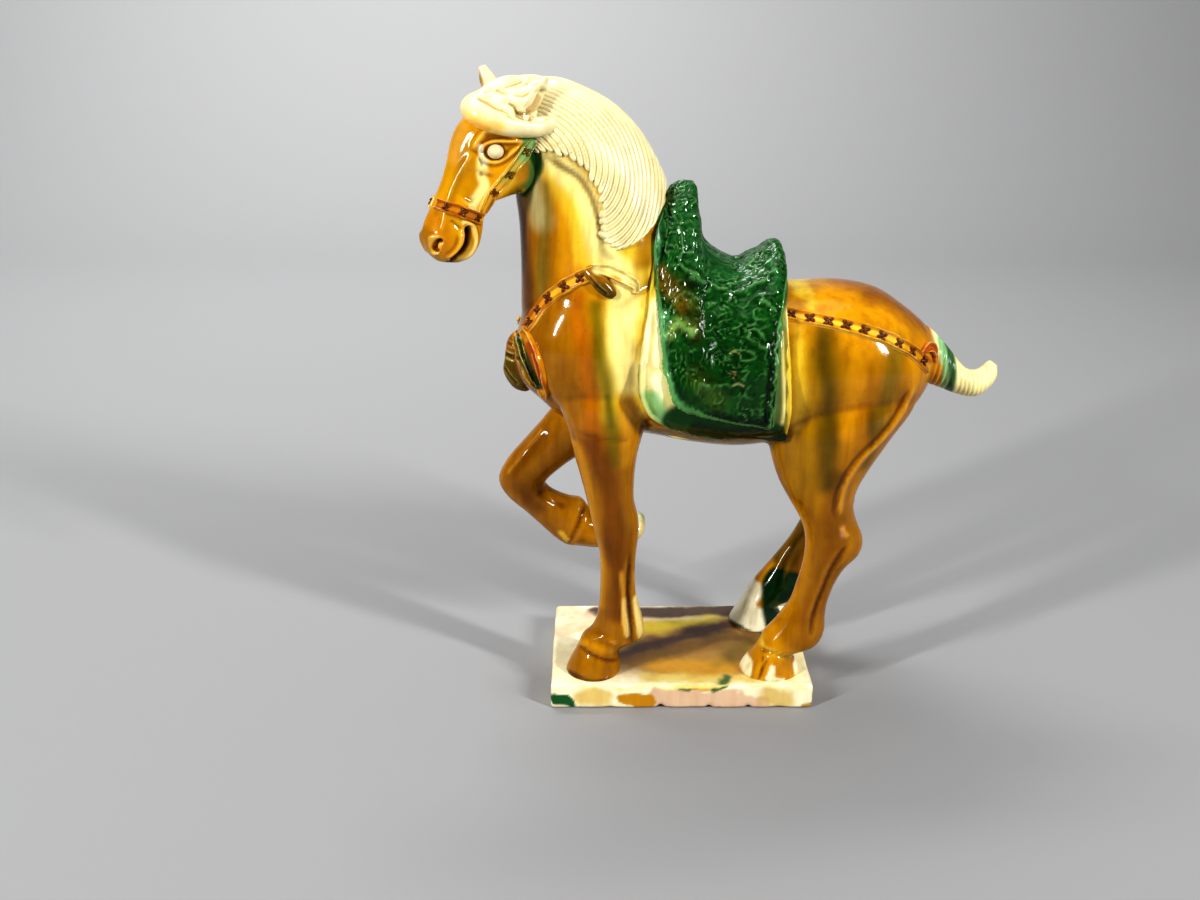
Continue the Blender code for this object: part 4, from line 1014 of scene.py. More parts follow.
hair = fuse("horse_forelock_and_ears", [
    head_tube("poll_hair", POLL_HAIR), head_tube("near_lock", SIDE_LOCK),
    head_tube("far_lock", SIDE_LOCK, -1, FAR_SETBACK), head_tube("forehead_hair", FOREHEAD_HAIR),
    head_tube("far_forehead_hair", FOREHEAD_HAIR, -1, FAR_SETBACK),
    head_tube("near_ear", NEAR_EAR), head_tube("far_ear", FAR_EAR),
], FINE_VOXEL, 5)
HAIR_STROKES = [
    ([(16.4, 231.4), (14.4, 229.4), (13.2, 227.0), (10.2, 225.8), (5.6, 225.2), (-1, 225.4)], 0.8, -2.0, 1),
    ([(25.5, 233.0), (22.0, 230.8), (18.4, 227.8), (13.0, 225.0)], 0.7, -1.0, 1),
    ([(10.0, 226.4), (6.6, 227.8), (4.2, 231.4), (1.6, 235.6)], 1.9, -3.0, 1),
    ([(11.6, 229.4), (8.8, 233.0), (5.2, 235.8), (1.0, 238.4)], 0.7, 0.6, 1),
    ([(18, 235), (11, 233.2), (4, 235.6)], 0.8, -0.8, 1),
    ([(23, 234.0), (14, 235.4), (3, 237.4)], 0.6, -0.6, 1),
    ([(14.2, 232), (14.6, 236), (15, 240)], 1.0, -1.2, -1),
]
carve(hair, HAIR_STROKES)
HAIR_WASHES = [
    (shade(244, 204, 104), [(30, 226), (26, 223.4), (21, 222)], 2.6, 3.4, 0, 0.8),
    (shade(236, 176, 60), [(29, 224.6), (24, 222)], 0.9, 1.6, 0, 0.7),
    # Painted shade: darker glaze in the hollows of the near and the far ear.
    (shade(196, 160, 96), [(8.4, 226.6), (5.6, 228.6), (3.8, 231.8)], 1.6, 1.8, 1, 0.7),
    (shade(140, 84, 30), [(15.4, 231), (15.4, 236), (16, 241)], 1.0, 1.0, -1, 0.9),
]
glaze(hair, shade(232, 222, 176), HAIR_WASHES, pool=(0.66, 0.48, 0.26), rounds=12, depth=0.2, wander=0.6)
hair.data.transform(HEAD_FRAME)
place(hair, CREAM_GLAZE)


# %% [markdown]
# ## Saddle blanket and cover
#
# Both are modelled as sheets over the back: the stations of the saddle, swollen by the thickness of the
# sheet inside its outline and sunk below the coat outside it. The cover's relief looks like worm tracks.
# Its ridges run where one of two noises is near zero, or along the borders of a net of cells, and all of
# them are pulled about by another noise. The green glaze thins out on those ridges.

# %% Sheets over the back
BLANKET_OUTLINE = [
    (-14, 205), (-13, 184), (-14.6, 172), (-17.6, 152), (-20.2, 133), (-19.6, 124), (-15.6, 115.6),
    (-7.5, 109.4), (4, 105.6), (18, 103.6), (34, 103.0), (38.8, 105.2), (39.4, 118), (37.8, 142),
    (37.0, 158), (41, 170), (41, 205),
]
COVER_OUTLINE = [
    (-14.0, 205), (-14.0, 186), (-13.6, 172), (-12.4, 158), (-11.4, 146), (-9.4, 134), (-6.6, 123),
    (-3, 119), (5, 116.4), (16, 113.6), (31.6, 110.6), (33.0, 113), (33.4, 132), (34.0, 150), (36.4, 162),
    (39.4, 172), (40, 205),
]


def depth_inside(flat, outline):
    """How far each point lies inside a closed outline; below 0 outside it."""
    corners = np.array(outline, float)
    nearest = np.full(flat.shape[:-1], np.inf)
    crossings = np.zeros(flat.shape[:-1], int)
    for start, end in zip(corners, np.roll(corners, -1, axis=0)):
        step = end - start
        share = np.clip(((flat - start) @ step) / (step @ step), 0, 1)
        nearest = np.minimum(nearest, np.linalg.norm(flat - start - share[..., None] * step, axis=-1))
        level = flat[..., 1]
        straddles = (start[1] > level) != (end[1] > level)
        at = start[0] + step[0] * (level - start[1]) / (step[1] if step[1] else 1e-9)
        crossings += straddles & (flat[..., 0] < at)
    return np.where(crossings % 2 == 1, nearest, -nearest)


def cells(points, size):
    """How far each point is from the border between jittered cells of that size."""
    cell = points / size
    base = np.floor(cell)
    first = np.full(len(points), 9.0)
    second = np.full(len(points), 9.0)
    for corner in itertools.product((-1, 0, 1), repeat=3):
        at = base + corner
        seed = at @ np.array((12.9898, 78.233, 37.719))
        jitter = np.stack([np.sin(seed + k) * 4375.85 % 1 for k in (0.0, 2.1, 4.7)], axis=1)
        gap = np.linalg.norm(at + 0.1 + 0.8 * jitter - cell, axis=1)
        second = np.minimum(second, np.maximum(first, gap))
        first = np.minimum(first, gap)
    return second - first


SHEET_HIDDEN = -16.0
BELLY_HANG = 0.35


def hug_the_coat(grid, inside, thickness):
    """Keeps a sheet outside the coat, and lets its lower edge hang closer to the belly."""
    for i, k in np.argwhere((inside > 0.2) & (np.abs(grid[..., 1]) > 6)):
        x, y, z = grid[i, k]
        side = math.copysign(1, y)
        hit, _, _, _ = body_tree.ray_cast(Vector((x, side * WELL_OUTSIDE, z)), Vector((0, -side, 0)))
        if hit is not None:
            coat = abs(hit.y) + thickness * min(1, max(inside[i, k], 0.2) / 1.1) ** 0.5
            hang = BELLY_HANG + (1 - BELLY_HANG) * float(fade(z, 106.0, 126.0))
            grid[i, k, 1] = side * (coat + max(abs(y) - coat, 0) * hang)
    return grid


def sheet_over_back(name, outline, thickness, bead, steps, columns, lowest):
    """The saddle stations swollen inside the outline, with a bead along its edge."""
    rows = smooth(SADDLE, steps)
    turns = np.radians(np.linspace(-lowest, lowest, columns))
    flat = rings(rows, turns, thickness, FLAP_SQUARENESS)[..., [0, 2]]
    inside = depth_inside(flat, outline)
    lift = SHEET_HIDDEN + (thickness - SHEET_HIDDEN) * np.sqrt(fade(inside, -0.6, 1.1))
    lift += bead * (np.exp(-((inside - 1.1) / 0.8) ** 2) - 0.7 * np.exp(-((inside - 2.9) / 0.7) ** 2))
    grid = rings(rows, turns, lift, FLAP_SQUARENESS)
    return skin(name, hug_the_coat(grid, inside, thickness))


blanket = sheet_over_back("saddle_blanket", BLANKET_OUTLINE, 1.5, 0.75, 9, 270, 122)
apply_modifier(blanket, "SMOOTH", factor=0.5, iterations=1)
BLANKET_WASHES = [
    (YELLOW, [(-14, 174), (-16, 160), (-17.6, 146)], 2.6, 3, 0, 0.9),
    (IVORY, [(-13, 156), (-14.6, 140), (-13.6, 128)], 3.4, 3, 0, 0.95),
    (MINT, [(-15, 126), (-11, 118), (-4, 113)], 3.2, 3.4, 0, 0.85),
    (GREEN, [(-4, 116), (6, 112.6), (20, 109.4), (34, 108)], 6.6, 3.0, 0, 1.0),
    (DARK_GREEN, [(4, 110.4), (20, 107.2), (35, 106)], 4.6, 3.0, 0, 0.95),
    (OLIVE, [(-14.6, 176), (-17.8, 152), (-20.0, 134), (-19, 122), (-14, 114), (-6, 109.6)],
     0.7, 1.0, 0, 0.85),
    (GREEN, [(33.4, 150), (33.4, 130), (34, 112)], 1.6, 1.8, 0, 0.8),
    (YELLOW, [(37.8, 150), (38.2, 130), (38.8, 110)], 1.5, 1.6, 0, 0.95),
    (GREEN, [(38, 172), (37, 160)], 3, 3, 0, 0.9),
]
glaze(blanket, CREAM, BLANKET_WASHES, pool=(0.7, 0.62, 0.3), rounds=8, depth=0.2)
place(blanket, SADDLE_GLAZE)

# %% The cover and its worm tracks
cover = sheet_over_back("saddle_cover", COVER_OUTLINE, 3.3, 0.0, 13, 345, 116)
points, normals = points_of(cover), normals_of(cover)
pulled = points + np.stack([noise(points, 2.2, seed) for seed in (3, 4, 5)], axis=1) * 1.1
ridges = np.exp(-(noise(pulled, 3.3, 21) / 0.2) ** 2) * 0.9
ridges = np.maximum(ridges, np.exp(-(noise(pulled, 2.4, 22) / 0.2) ** 2) * 0.65)
ridges = np.maximum(ridges, np.exp(-((cells(pulled, 5.0)) / 0.1) ** 2) * 0.6)
ridges *= 0.72 + 0.4 * noise(points, 5.0, 23)
tracks = (ridges - 0.25) * (0.85 + 0.4 * noise(points, 11.0, 6)) + 0.3 * noise(points, 5.0, 9)
depth = depth_inside(points[:, [0, 2]], COVER_OUTLINE)
tracks *= fade(depth, 0.4, 1.4)
COVER_FOLDS = [
    ([(-3, 171.4), (0, 169), (4, 166.6), (11, 163.4), (18, 161.8), (23, 163), (27, 165.4), (32.6, 169.3)],
     0.9, 0.9),
    ([(-2, 166), (4, 162.6), (10, 159.8), (18, 158)], 1.5, -0.6),
    ([(27, 160), (31, 156.6), (33.4, 150)], 1.6, 0.9),
    ([(31.8, 150), (31.3, 140), (30.8, 125), (30.6, 114)], 0.9, 1.3),
    ([(29.4, 146), (29.0, 132), (28.6, 117)], 1.0, -0.6),
    ([(-1.6, 194), (-3.4, 187), (-3.0, 180), (-4.4, 172)], 0.7, 0.5),
    ([(-8, 186), (-9.4, 180), (-7.4, 174)], 0.9, 0.7),
    ([(-9, 148), (-7, 151.4), (-3, 151.6), (1, 149)], 0.9, 0.7),
    ([(-10, 139), (-8.4, 130), (-5, 121.4)], 0.9, 0.8),
]
uneven = 1 + 0.5 * noise(points, 2.6, 24)
for route, width, height in COVER_FOLDS:
    tracks += height * uneven * np.exp(-(distance_to(pulled[:, [0, 2]], route) / width) ** 2)
move_points(cover, points + normals * tracks[:, None])
FLAW = shade(206, 184, 130)
COVER_WASHES = [
    (shade(44, 96, 50), [(-8, 190), (-2, 194), (6, 172), (20, 169), (32, 172)], 6, 8, 0, 0.6),
    (shade(10, 54, 10), [(8, 142), (20, 140), (28, 130)], 12, 10, 0, 0.75),
    (DARK_GREEN, [(8, 117), (22, 115), (31, 114)], 2.6, 3, 0, 0.95),
    (DARK_GREEN, [(33.6, 150), (33, 116)], 2.0, 1.0, 0, 0.9),
    (shade(112, 84, 4), [(-10.6, 169), (-8, 163), (-4, 158)], 3.4, 4, 0, 0.85),
    (DARK_OLIVE, [(-5, 165), (1, 157), (2, 150)], 3.4, 5, 0, 0.6),
    (shade(150, 168, 84), [(-9.4, 149), (-5, 152), (0, 150.6)], 1.6, 3.4, 0, 0.7),
    (MINT, [(-13.4, 188), (-13, 174)], 1.6, 2.6, 0, 0.7),
    (MINT, [(-12.4, 154), (-11, 142), (-8.4, 128), (-4, 120.4)], 2.0, 3.0, 0, 0.75),
    (OLIVE, [(2, 134), (10, 124)], 4, 7, 0, 0.18),
    (FLAW, [(14.9, 142.6), (16.4, 143.3), (17.8, 141.8)], 0.2, 0.45, NEAR, 0.6),
    (UMBER, [(15.0, 135.4), (16.4, 134.4)], 0.7, 0.6, NEAR, 0.85),
    (FLAW, [(14.4, 136.2), (16.6, 135.6), (15.6, 133.6)], 0.15, 0.4, NEAR, 0.5),
    (FLAW, [(15.6, 130.6), (17.4, 131.6), (19.4, 130.8)], 0.2, 0.45, NEAR, 0.6),
]
glaze(cover, GREEN, COVER_WASHES, pool=(0.2, 0.28, 0.18), rounds=7, depth=0.2,
      thin=shade(104, 156, 92), mottle=(2.4, 0.35))
place(cover, SADDLE_GLAZE)


# %% [markdown]
# ## Harness
#
# The straps are flat bands with a raised rim along each edge. They have to lie on the coat, so their line
# is cast from the side on to the finished skin, and the band is built on the points where it lands. The
# flowers, four petals round a button, are modelled once in each of two sizes, and a copy is pressed on
# at each place.

# %% Where a line lands on the skin
def running_mean(values, reach):
    """Each row averaged with its neighbours on both sides."""
    padded = np.vstack([values[:1]] * reach + [values] + [values[-1:]] * reach)
    return np.stack([padded[k:k + len(values)] for k in range(2 * reach + 1)]).mean(axis=0)


def lay(route, tree, side, carried=Matrix.Identity(4), steps=18):
    """Places on the surface under a route drawn in the side view, and the ways out of it there."""
    outward = (carried.to_3x3() @ Vector((0, side, 0))).normalized()
    places, ways = [], []
    for along, height in smooth(route, steps):
        hit, way, _, _ = tree.ray_cast(carried @ Vector((along, side * WELL_OUTSIDE, height)), -outward)
        if hit is not None:
            places.append(hit[:])
            ways.append((way if way.dot(outward) > 0 else -way)[:])
    ways = running_mean(np.array(ways), 8)
    ways /= np.linalg.norm(ways, axis=1)[:, None]
    return running_mean(np.array(places), 4), ways


# %% A band with raised rims, and its flowers
def strap(name, laid, width, thickness, rim, columns=25):
    """A band along places on the surface, with an uneven rim along both edges. The width is one number, or
    one for each place."""
    places, ways = laid
    ahead = np.gradient(places, axis=0)
    across = np.cross(ahead, ways)
    across /= np.linalg.norm(across, axis=1)[:, None]
    reach = np.broadcast_to(width, len(places)) / 2 * (1 + 0.08 * noise(places, 3.6, 15))
    ridge = rim * (1 + 0.6 * noise(places, 2.2, 16))
    v = np.linspace(-1, 1, columns)
    profile = (thickness * np.sqrt(fade(1 - np.abs(v), 0.0, 0.16)))[None, :]
    profile = profile + ridge[:, None] * np.exp(-((np.abs(v) - 0.8) / 0.17) ** 2)[None, :]
    v = np.concatenate([v, [0.94, -0.94]])
    profile = np.hstack([profile, np.full((len(places), 2), -1.2)])
    return skin(name, places[:, None] + across[:, None] * (reach[:, None] * v)[..., None]
                + ways[:, None] * profile[..., None])


def model_flower(radius, height):
    """Four petals round a button, modelled from two balls."""
    bpy.ops.object.select_all(action="DESELECT")
    bpy.ops.mesh.primitive_uv_sphere_add(segments=16, ring_count=10, radius=radius * 0.36)
    button = bpy.context.active_object
    petals = []
    for quarter in range(4):
        turn = math.pi / 4 + quarter * math.pi / 2
        bpy.ops.object.select_all(action="DESELECT")
        bpy.ops.mesh.primitive_uv_sphere_add(segments=16, ring_count=10, radius=radius * 0.44)
        petal = bpy.context.active_object
        petal.data.transform(Matrix.Diagonal((1.15, 0.82, 1, 1)))
        petal.data.transform(Matrix.Rotation(turn, 4, "Z") @ Matrix.Translation((radius * 0.62, 0, 0)))
        petals.append(petal)
    select_only(button, *petals)
    bpy.ops.object.join()
    flower = bpy.context.view_layer.objects.active
    flower.data.transform(Matrix.Diagonal((1, 1, height / (radius * 0.46), 1)))
    flower.name = "flower_model"
    return flower


def press_on(flower, laid, marks):
    """Copies of the flower at these shares of the way along a band."""
    places, ways = laid
    made = []
    for mark in marks:
        k = int(round(mark * (len(places) - 1)))
        copy = bpy.data.objects.new("flower", flower.data.copy())
        bpy.context.scene.collection.objects.link(copy)
        ahead = Vector(places[min(k + 1, len(places) - 1)] - places[max(k - 1, 0)]).normalized()
        out = Vector(ways[k])
        turn = Matrix((ahead, out.cross(ahead), out)).transposed().to_4x4()
        turn = turn @ Matrix.Rotation(0.3 * math.sin(5.3 * k), 4, "Z")
        turn = turn @ Matrix.Scale(1 + 0.12 * math.sin(3.1 * k), 4)
        copy.data.transform(Matrix.Translation(places[k] + ways[k] * 0.9) @ turn)
        made.append(copy)
    return made


def joined(name, objects):
    """Several finished shells as one piece."""
    select_only(*objects)
    bpy.ops.object.join()
    one = bpy.context.view_layer.objects.active
    one.name = one.data.name = name
    return one


# %% Lay the bands
BREAST_BAND = [(-62.4, 145.6), (-58.5, 151.5), (-54.5, 157.5), (-48, 163.5), (-41, 168.0), (-35.6, 170.2)]
CRUPPER_BAND = [(36, 153.4), (46, 151.8), (56, 150.4), (66, 148), (76, 144.4), (86, 138.2), (93, 131.5)]
NOSE_BAND = [(42.0, 195.4), (38.5, 194.4), (31.5, 191.8), (24.4, 188.6)]
CHEEK_BAND = [(25.0, 191.0), (21.6, 198.4), (16, 205), (9.6, 213), (6.2, 217)]
band_flower, halter_flower = model_flower(2.0, 0.8), model_flower(1.6, 0.6)
bands, flowers = [], []
for side in (NEAR, FAR):
    breast, crupper = lay(BREAST_BAND, body_tree, side), lay(CRUPPER_BAND, body_tree, side)
    bands += [strap("breast_band", breast, 5.8, 0.8, 0.8), strap("crupper_band", crupper, 5.6, 0.8, 0.8)]
    flowers += press_on(band_flower, breast, [0.12, 0.29, 0.46, 0.63, 0.80])
    flowers += press_on(band_flower, crupper, [0.06, 0.16, 0.27, 0.38, 0.49, 0.60, 0.71, 0.81, 0.91])
    nose, cheek = lay(NOSE_BAND, head_tree, side, HEAD_FRAME), lay(CHEEK_BAND, head_tree, side, HEAD_FRAME)
    bands += [strap("nose_band", nose, 4.6, 0.7, 0.6), strap("cheek_band", cheek, 4.4, 0.7, 0.6)]
    flowers += press_on(halter_flower, nose, [0.2, 0.5, 0.8])
    flowers += press_on(halter_flower, cheek, [0.28, 0.52, 0.76])
for model in (band_flower, halter_flower):
    bpy.data.objects.remove(model, do_unlink=True)
harness = joined("harness_bands", bands)
HARNESS_WASHES = [
    (shade(206, 140, 30), [(-62, 146), (-56, 155)], 5, 5, 0, 0.8),
    (YELLOW, [(60, 150), (80, 143)], 8, 8, 0, 0.6),
    (HONEY, [(86, 139), (94, 132)], 5, 5, 0, 0.8),
    (ORANGE, [(-92, 194), (-84, 192)], 6, 4, 0, 0.75),
    (shade(196, 190, 90), [(-60, 213), (-66, 205)], 5, 4, 0, 0.8),
    (MINT, [(-59, 217), (-60, 212)], 3.4, 3, 0, 0.8),
]
glaze(harness, shade(232, 188, 60), HARNESS_WASHES, pool=(0.62, 0.36, 0.12), rounds=6, depth=0.12,
      thin=shade(248, 228, 140), wander=0.8)
place(harness, TRIM_GLAZE)
blossoms = joined("harness_flowers", flowers)
BLOSSOM_WASHES = [(shade(112, 100, 20), [(-60, 213), (-66, 205)], 6, 4, 0, 0.6)]
glaze(blossoms, shade(104, 56, 8), BLOSSOM_WASHES, rounds=2, thin=shade(206, 132, 40), depth=0.1)
place(blossoms, TRIM_GLAZE)
place(head, FACE_GLAZE)
place(eyes, CREAM_GLAZE)

# %% The knot on the chest and the leaves
CHEST_KNOT = [
    (-63.6, -1, 140.5, 2.6), (-66.0, -1, 136.6, 4.3), (-66.8, -1, 132.6, 4.6), (-66.6, -1, 129.2, 5.4),
    (-66.2, -1, 125.0, 6.2), (-65, -1, 120.5, 4.8), (-62.5, 0, 117, 2.2),
]
SHOULDER_LEAF = [
    (-39.4, 171.2, 1.6), (-36.4, 169.0, 2.6), (-32.8, 165.8, 3.0), (-29.8, 163.0, 2.5),
    (-28.4, 161.4, 1.2),
]
SCROLL_LEAF = [
    (-37.6, 172.0, 2.4), (-31.6, 171.4, 5.0), (-25.4, 168.8, 5.4), (-21.0, 165.6, 3.6),
    (-20.6, 162.0, 1.6),
]
CHEST_LEAF = [
    (-62.6, 146.4, 2.4), (-60.2, 141.0, 7.0), (-58.0, 134.0, 8.6), (-56.0, 126.0, 6.6),
    (-54.4, 119.4, 1.8),
]
GREEN_LEAF = [(-65.0, 142.4, 2.0), (-63.4, 138.0, 4.8), (-60.6, 131.6, 5.0), (-57.0, 125.0, 1.8)]
TAIL_KNOT = [(88.6, 137.0, 2.2), (92.6, 138.6, 4.4), (95.6, 136.0, 4.6), (96.4, 131.6, 2.2)]


def spread(route, count):
    """The third numbers of a route, spread evenly over that many places."""
    return np.interp(np.linspace(0, 1, count), np.linspace(0, 1, len(route)), [step[2] for step in route])


def leaf(name, route, tree, side, raised=1.2):
    """A leaf with raised rims that lies on the coat; the route's third numbers are its widths."""
    laid = lay([step[:2] for step in route], tree, side)
    return strap(name, laid, spread(route, len(laid[0])), raised, 0.9)


def pod(name, route, tree, side):
    """A round, thick leaf that lies on the coat; the route's third numbers are its radii."""
    places, _ = lay([step[:2] for step in route], tree, side)
    return tube(name, np.hstack([places, spread(route, len(places))[:, None]])[::6], steps=4)


trim = [tube("knot", CHEST_KNOT)]
for side in (NEAR, FAR):
    # The far leaves start a step further in, so that they don't show past the near outline.
    first = 0 if side == NEAR else 1
    trim += [leaf("leaf", route[first:], body_tree, side) for route in (SCROLL_LEAF, CHEST_LEAF, TAIL_KNOT)]
    trim.append(leaf("upper_leaf", GREEN_LEAF, body_tree, side, 2.2))
    trim.append(pod("pendant", SHOULDER_LEAF, body_tree, side))
tassel = fuse("chest_knot_and_leaves", trim, FINE_VOXEL, 3)
TASSEL_STROKES = [
    ([(-74, 132.4), (-65, 131.0)], 0.8, -1.2, 0),
    ([(-73, 137.4), (-65, 135.4)], 0.6, -0.6, 0),
    ([(-72.4, 127.4), (-69.4, 123.4), (-66.4, 120)], 0.6, -0.6, 0),
    ([(-59.6, 140), (-57.8, 133), (-56.0, 126)], 0.5, 0.5, 0),
    ([(-63.6, 139), (-61.0, 132.6), (-58.6, 127.6)], 0.5, -0.5, 0),
    ([(-38, 169.4), (-34.4, 165.6), (-31, 162.8)], 0.5, -0.5, 0),
    ([(90, 137.4), (93, 136.6), (95.6, 133.4)], 0.7, -0.8, 0),
]
carve(tassel, TASSEL_STROKES)
TASSEL_WASHES = [
    (shade(84, 70, 8), [(-70, 128), (-66, 121)], 6, 3, 0, 0.95),
    (shade(120, 76, 20), [(-70, 137), (-65, 134.4)], 3.4, 3, 0, 0.8),
    (shade(206, 142, 22), [(-61, 145), (-57.6, 133), (-54.4, 120)], 4.6, 2.0, 0, 0.9),
    (shade(172, 82, 4), [(-59.8, 141), (-57.8, 133), (-56, 126)], 2.2, 1.2, 0, 0.95),
    (shade(34, 66, 16), [(-64.6, 141), (-61.2, 133), (-57.4, 125.6)], 2.2, 1.2, 0, 0.95),
    (shade(138, 96, 14), [(-39, 170), (-33, 165.4), (-28, 161)], 3.4, 1.6, 0, 0.95),
    (shade(64, 58, 8), [(-34, 165.6), (-28.4, 161)], 2.2, 2.4, 0, 0.85),
    (CREAM, [(-33.6, 173.4), (-25, 170.4), (-19.6, 165), (-19.6, 161)], 3.0, 1.6, 0, 1.0),
    (shade(186, 96, 10), [(88, 138), (96, 134)], 5.0, 2.0, 0, 0.95),
]
glaze(tassel, shade(206, 150, 30), TASSEL_WASHES, pool=POOL, rounds=8, depth=0.16, thin=shade(240, 206, 110),
      wander=0.5)
place(tassel, TRIM_GLAZE)


# %% [markdown]
# ## Tail
#
# The tail is bound where it leaves the rump, and its cream tip curls up. The comb left fine lines in it.

# %% Tail
tail = fuse("horse_tail", [loft("tail", TAIL, steps=12, sides=72)], FINE_VOXEL, 4)
comb_lines = [([(109 + 1.9 * k, 112), (110.4 + 1.7 * k, 130)], 0.45, -0.28, 0) for k in range(8)]
wrap_lines = [([(98 + 2.2 * k, 116), (101.5 + 2.2 * k, 142)], 0.6, -0.5, 0) for k in range(4)]
carve(tail, comb_lines + wrap_lines)
TAIL_WASHES = [
    (ORANGE, [(90, 144), (95, 124)], 7, 3, 0, 1.0),
    (shade(214, 226, 176), [(101, 141), (103, 130)], 3, 3, 0, 0.8),
    (MINT, [(101.6, 138), (103, 128), (102.6, 118)], 1.8, 1.8, 0, 0.8),
    (shade(28, 92, 50), [(104.8, 136), (106.2, 126), (105.8, 115)], 1.7, 1.6, 0, 0.95),
    (HONEY, [(99.6, 128), (100.4, 119)], 2.0, 2.0, 0, 0.9),
]
glaze(tail, CREAM * 0.5 + IVORY * 0.5, TAIL_WASHES, pool=(0.8, 0.62, 0.36), rounds=6, depth=0.16, wander=0.5)
place(tail, CREAM_GLAZE)


# %% [markdown]
# ## Plinth
#
# The slab is part of the same casting. It starts as a cube that is stretched to its size, its edges
# are rounded, and a remesh gives it enough points for the brushwork. Its sides were only splashed: the
# front face is bare clay in the middle, and its lower edge is chipped.

# %% Plinth
PLINTH_LENGTH, PLINTH_WIDTH = 108.0, 70.6
bpy.ops.object.select_all(action="DESELECT")
bpy.ops.mesh.primitive_cube_add(size=1, location=(0, 0, 0))
plinth = bpy.context.active_object
plinth.name = plinth.data.name = "plinth"
bpy.ops.object.mode_set(mode="EDIT")
bpy.ops.mesh.select_all(action="SELECT")
bpy.ops.transform.resize(value=(PLINTH_LENGTH, PLINTH_WIDTH, PLINTH_THICKNESS))
bpy.ops.transform.translate(value=(0, 0, -PLINTH_THICKNESS / 2))
bpy.ops.mesh.bevel(offset=1.2, segments=3)
bpy.ops.object.mode_set(mode="OBJECT")
apply_modifier(plinth, "REMESH", mode="VOXEL", voxel_size=0.75)
apply_modifier(plinth, "SMOOTH", factor=0.5, iterations=2)
points, normals = points_of(plinth), normals_of(plinth)
points += normals * (0.14 * noise(points, 9, 7) + 0.07 * noise(points, 2.6, 8))[:, None]
CHIPS = [(-8.6, 1.5, 1.3), (11.4, 1.2, 0.9), (27.6, 1.3, 0.9), (-30, 2.2, 0.3), (40, 2.6, 0.4)]
for x, reach, bite in CHIPS:
    near_edge = np.exp(-((points[:, 0] - x) / reach) ** 2 - ((points[:, 2] + PLINTH_THICKNESS) / 1.6) ** 2)
    points[:, 1] += np.where(points[:, 1] < -30, near_edge * bite, 0)
    points[:, 2] += np.where(points[:, 1] < -30, near_edge * bite * 0.5, 0)
move_points(plinth, points)


def paint_plinth(obj):
    """Washes on the top are drawn from above, and those on the front from the front."""
    points, normals = points_of(obj), normals_of(obj)
    colour = np.tile(shade(244, 236, 200), (len(points), 1))
    warp = np.stack([noise(points, 6.0, seed) for seed in (11, 12)], axis=1) * 1.8
    warp += np.stack([noise(points, 1.9, seed) for seed in (13, 14)], axis=1) * 0.5
    top, front = points[:, [0, 1]] + warp, points[:, [0, 2]] + warp * 1.3
    underneath = normals[:, 2] < -0.7

    def wash(flat, where, tint, route, width, softness, strength):
        weight = np.where(where, coverage(flat, route, width, softness, strength), 0)[:, None]
        colour[:] = colour * (1 - weight) + np.array(tint) * weight

    for tint, route, width, softness, strength in TOP_WASHES:
        wash(top, points[:, 2] > -1.2, tint, route, width, softness, strength)
    for tint, route, width, softness, strength in FRONT_WASHES:
        wash(front, (points[:, 1] < -33.5) & (points[:, 2] < -0.4), tint, route, width, softness, strength)
    for tint, route, width, softness, strength in SIDE_WASHES:
        flat = np.stack([points[:, 0] + points[:, 1], points[:, 2]], axis=1) + warp * 0.5
        wash(flat, (points[:, 1] > -33.5) & (points[:, 2] < -1.2), tint, route, width, softness, strength)
    colour[underneath] = CLAY
    keep_colour(obj, colour)


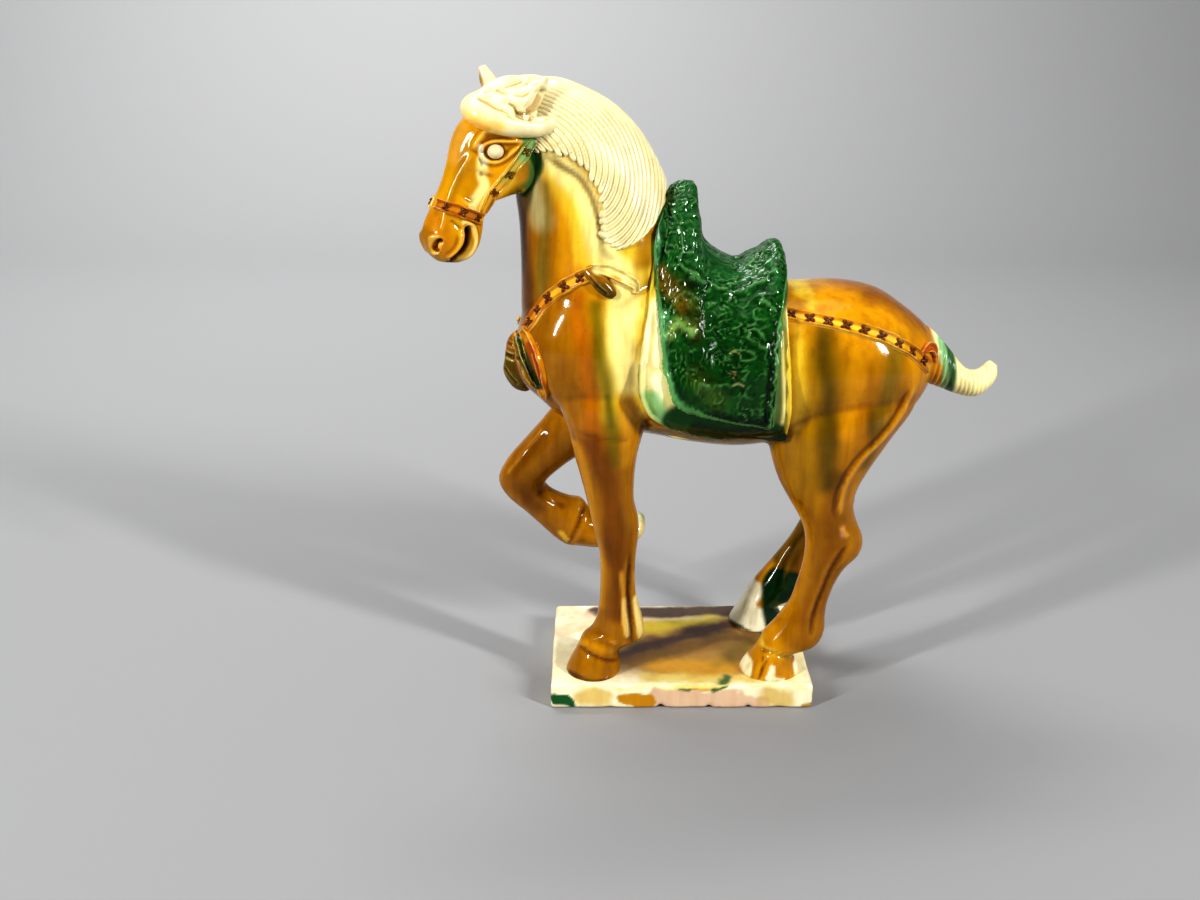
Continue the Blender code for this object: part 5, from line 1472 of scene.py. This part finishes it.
PLUM = shade(64, 34, 24)
TOP_WASHES = [
    (shade(152, 112, 14), [(-10, -4), (18, -4), (38, 6)], 25, 14, 0.95),
    (shade(196, 146, 26), [(-8, -18), (6, -22), (20, -22)], 7, 8, 0.9),
    (shade(216, 190, 80), [(-14, -29), (4, -31), (30, -31)], 3, 5, 0.8),
    (PLUM, [(-34, 27), (0, 28), (26, 31), (44, 31)], 5.6, 5, 0.95),
    (shade(176, 158, 36), [(-26, 10), (-8, 14), (8, 17), (18, 21)], 4.6, 7, 0.9),
    (PLUM, [(-26, -12), (-16, -5), (-2, 3), (12, 11), (26, 16), (36, 10)], 5.2, 7, 0.95),
    (shade(112, 78, 20), [(-26, -18), (-4, -8), (14, 1), (34, 6)], 4.4, 8, 0.75),
    (shade(96, 64, 30), [(30, 4), (40, -4), (48, -16)], 3.4, 6, 0.7),
    (OLIVE, [(18, -18), (26, -6), (32, 0)], 3, 6, 0.5),
    (shade(44, 92, 34), [(19, -30), (16.5, -34.5)], 2.2, 2.6, 0.9),
    (shade(214, 206, 130), [(-28, 20), (-40, 12)], 5, 8, 0.7),
    (CLAY, [(-50, 30), (-42, 20), (-50, 12)], 7, 6, 0.8),
    (shade(236, 228, 186), [(-50, -10), (-46, -30)], 8, 8, 0.9),
    (shade(250, 240, 190), [(48, 30), (50, 0), (46, -30)], 6, 5, 0.9),
]
FRONT_WASHES = [
    (CLAY, [(-9, -5), (8, -7), (30, -8)], 4.4, 1.2, 1.0),
    (CLAY, [(-14, -10.6), (36, -10.4)], 1.4, 1.0, 0.9),
    (shade(214, 176, 50), [(-40, -5), (-30, -6.4)], 3.4, 3, 0.7),
    (shade(196, 140, 20), [(-22, -6.6), (-14, -7.4)], 3.2, 0.7, 1.0),
    (shade(204, 152, 24), [(-2, 0.4), (18, 0.4)], 2.6, 0.7, 1.0),
    (shade(48, 96, 30), [(-2, -1.6), (1.4, -2.2)], 1.2, 0.9, 0.8),
    (shade(48, 96, 30), [(13, -1.8), (18, -1.2)], 1.4, 0.9, 0.9),
    (shade(30, 92, 44), [(-53, -7.6), (-46, -8.4)], 3.0, 0.8, 1.0),
    (shade(206, 168, 50), [(36, -5), (42, -6)], 4, 4, 0.7),
    (shade(176, 130, 20), [(50, -9.6), (53, -9)], 2.0, 1.4, 0.9),
    (CREAM, [(-40, -0.6), (50, -0.6)], 0.9, 0.8, 0.7),
]
SIDE_WASHES = [
    (CLAY, [(-20, -8), (60, -8)], 4, 2.4, 0.9),
    (shade(196, 140, 20), [(-60, -3), (-50, -4)], 5, 2, 0.8),
    (shade(48, 96, 40), [(20, -2), (30, -3)], 3, 2, 0.7),
    (shade(196, 140, 20), [(70, -3), (84, -4)], 4, 2, 0.8),
]
paint_plinth(plinth)
PLINTH_GLAZE = lead_glaze("splashed_plinth_glaze", 0.4, (0.8, 0.66, 0.5), 0.2, 0.2)
place(plinth, PLINTH_GLAZE)
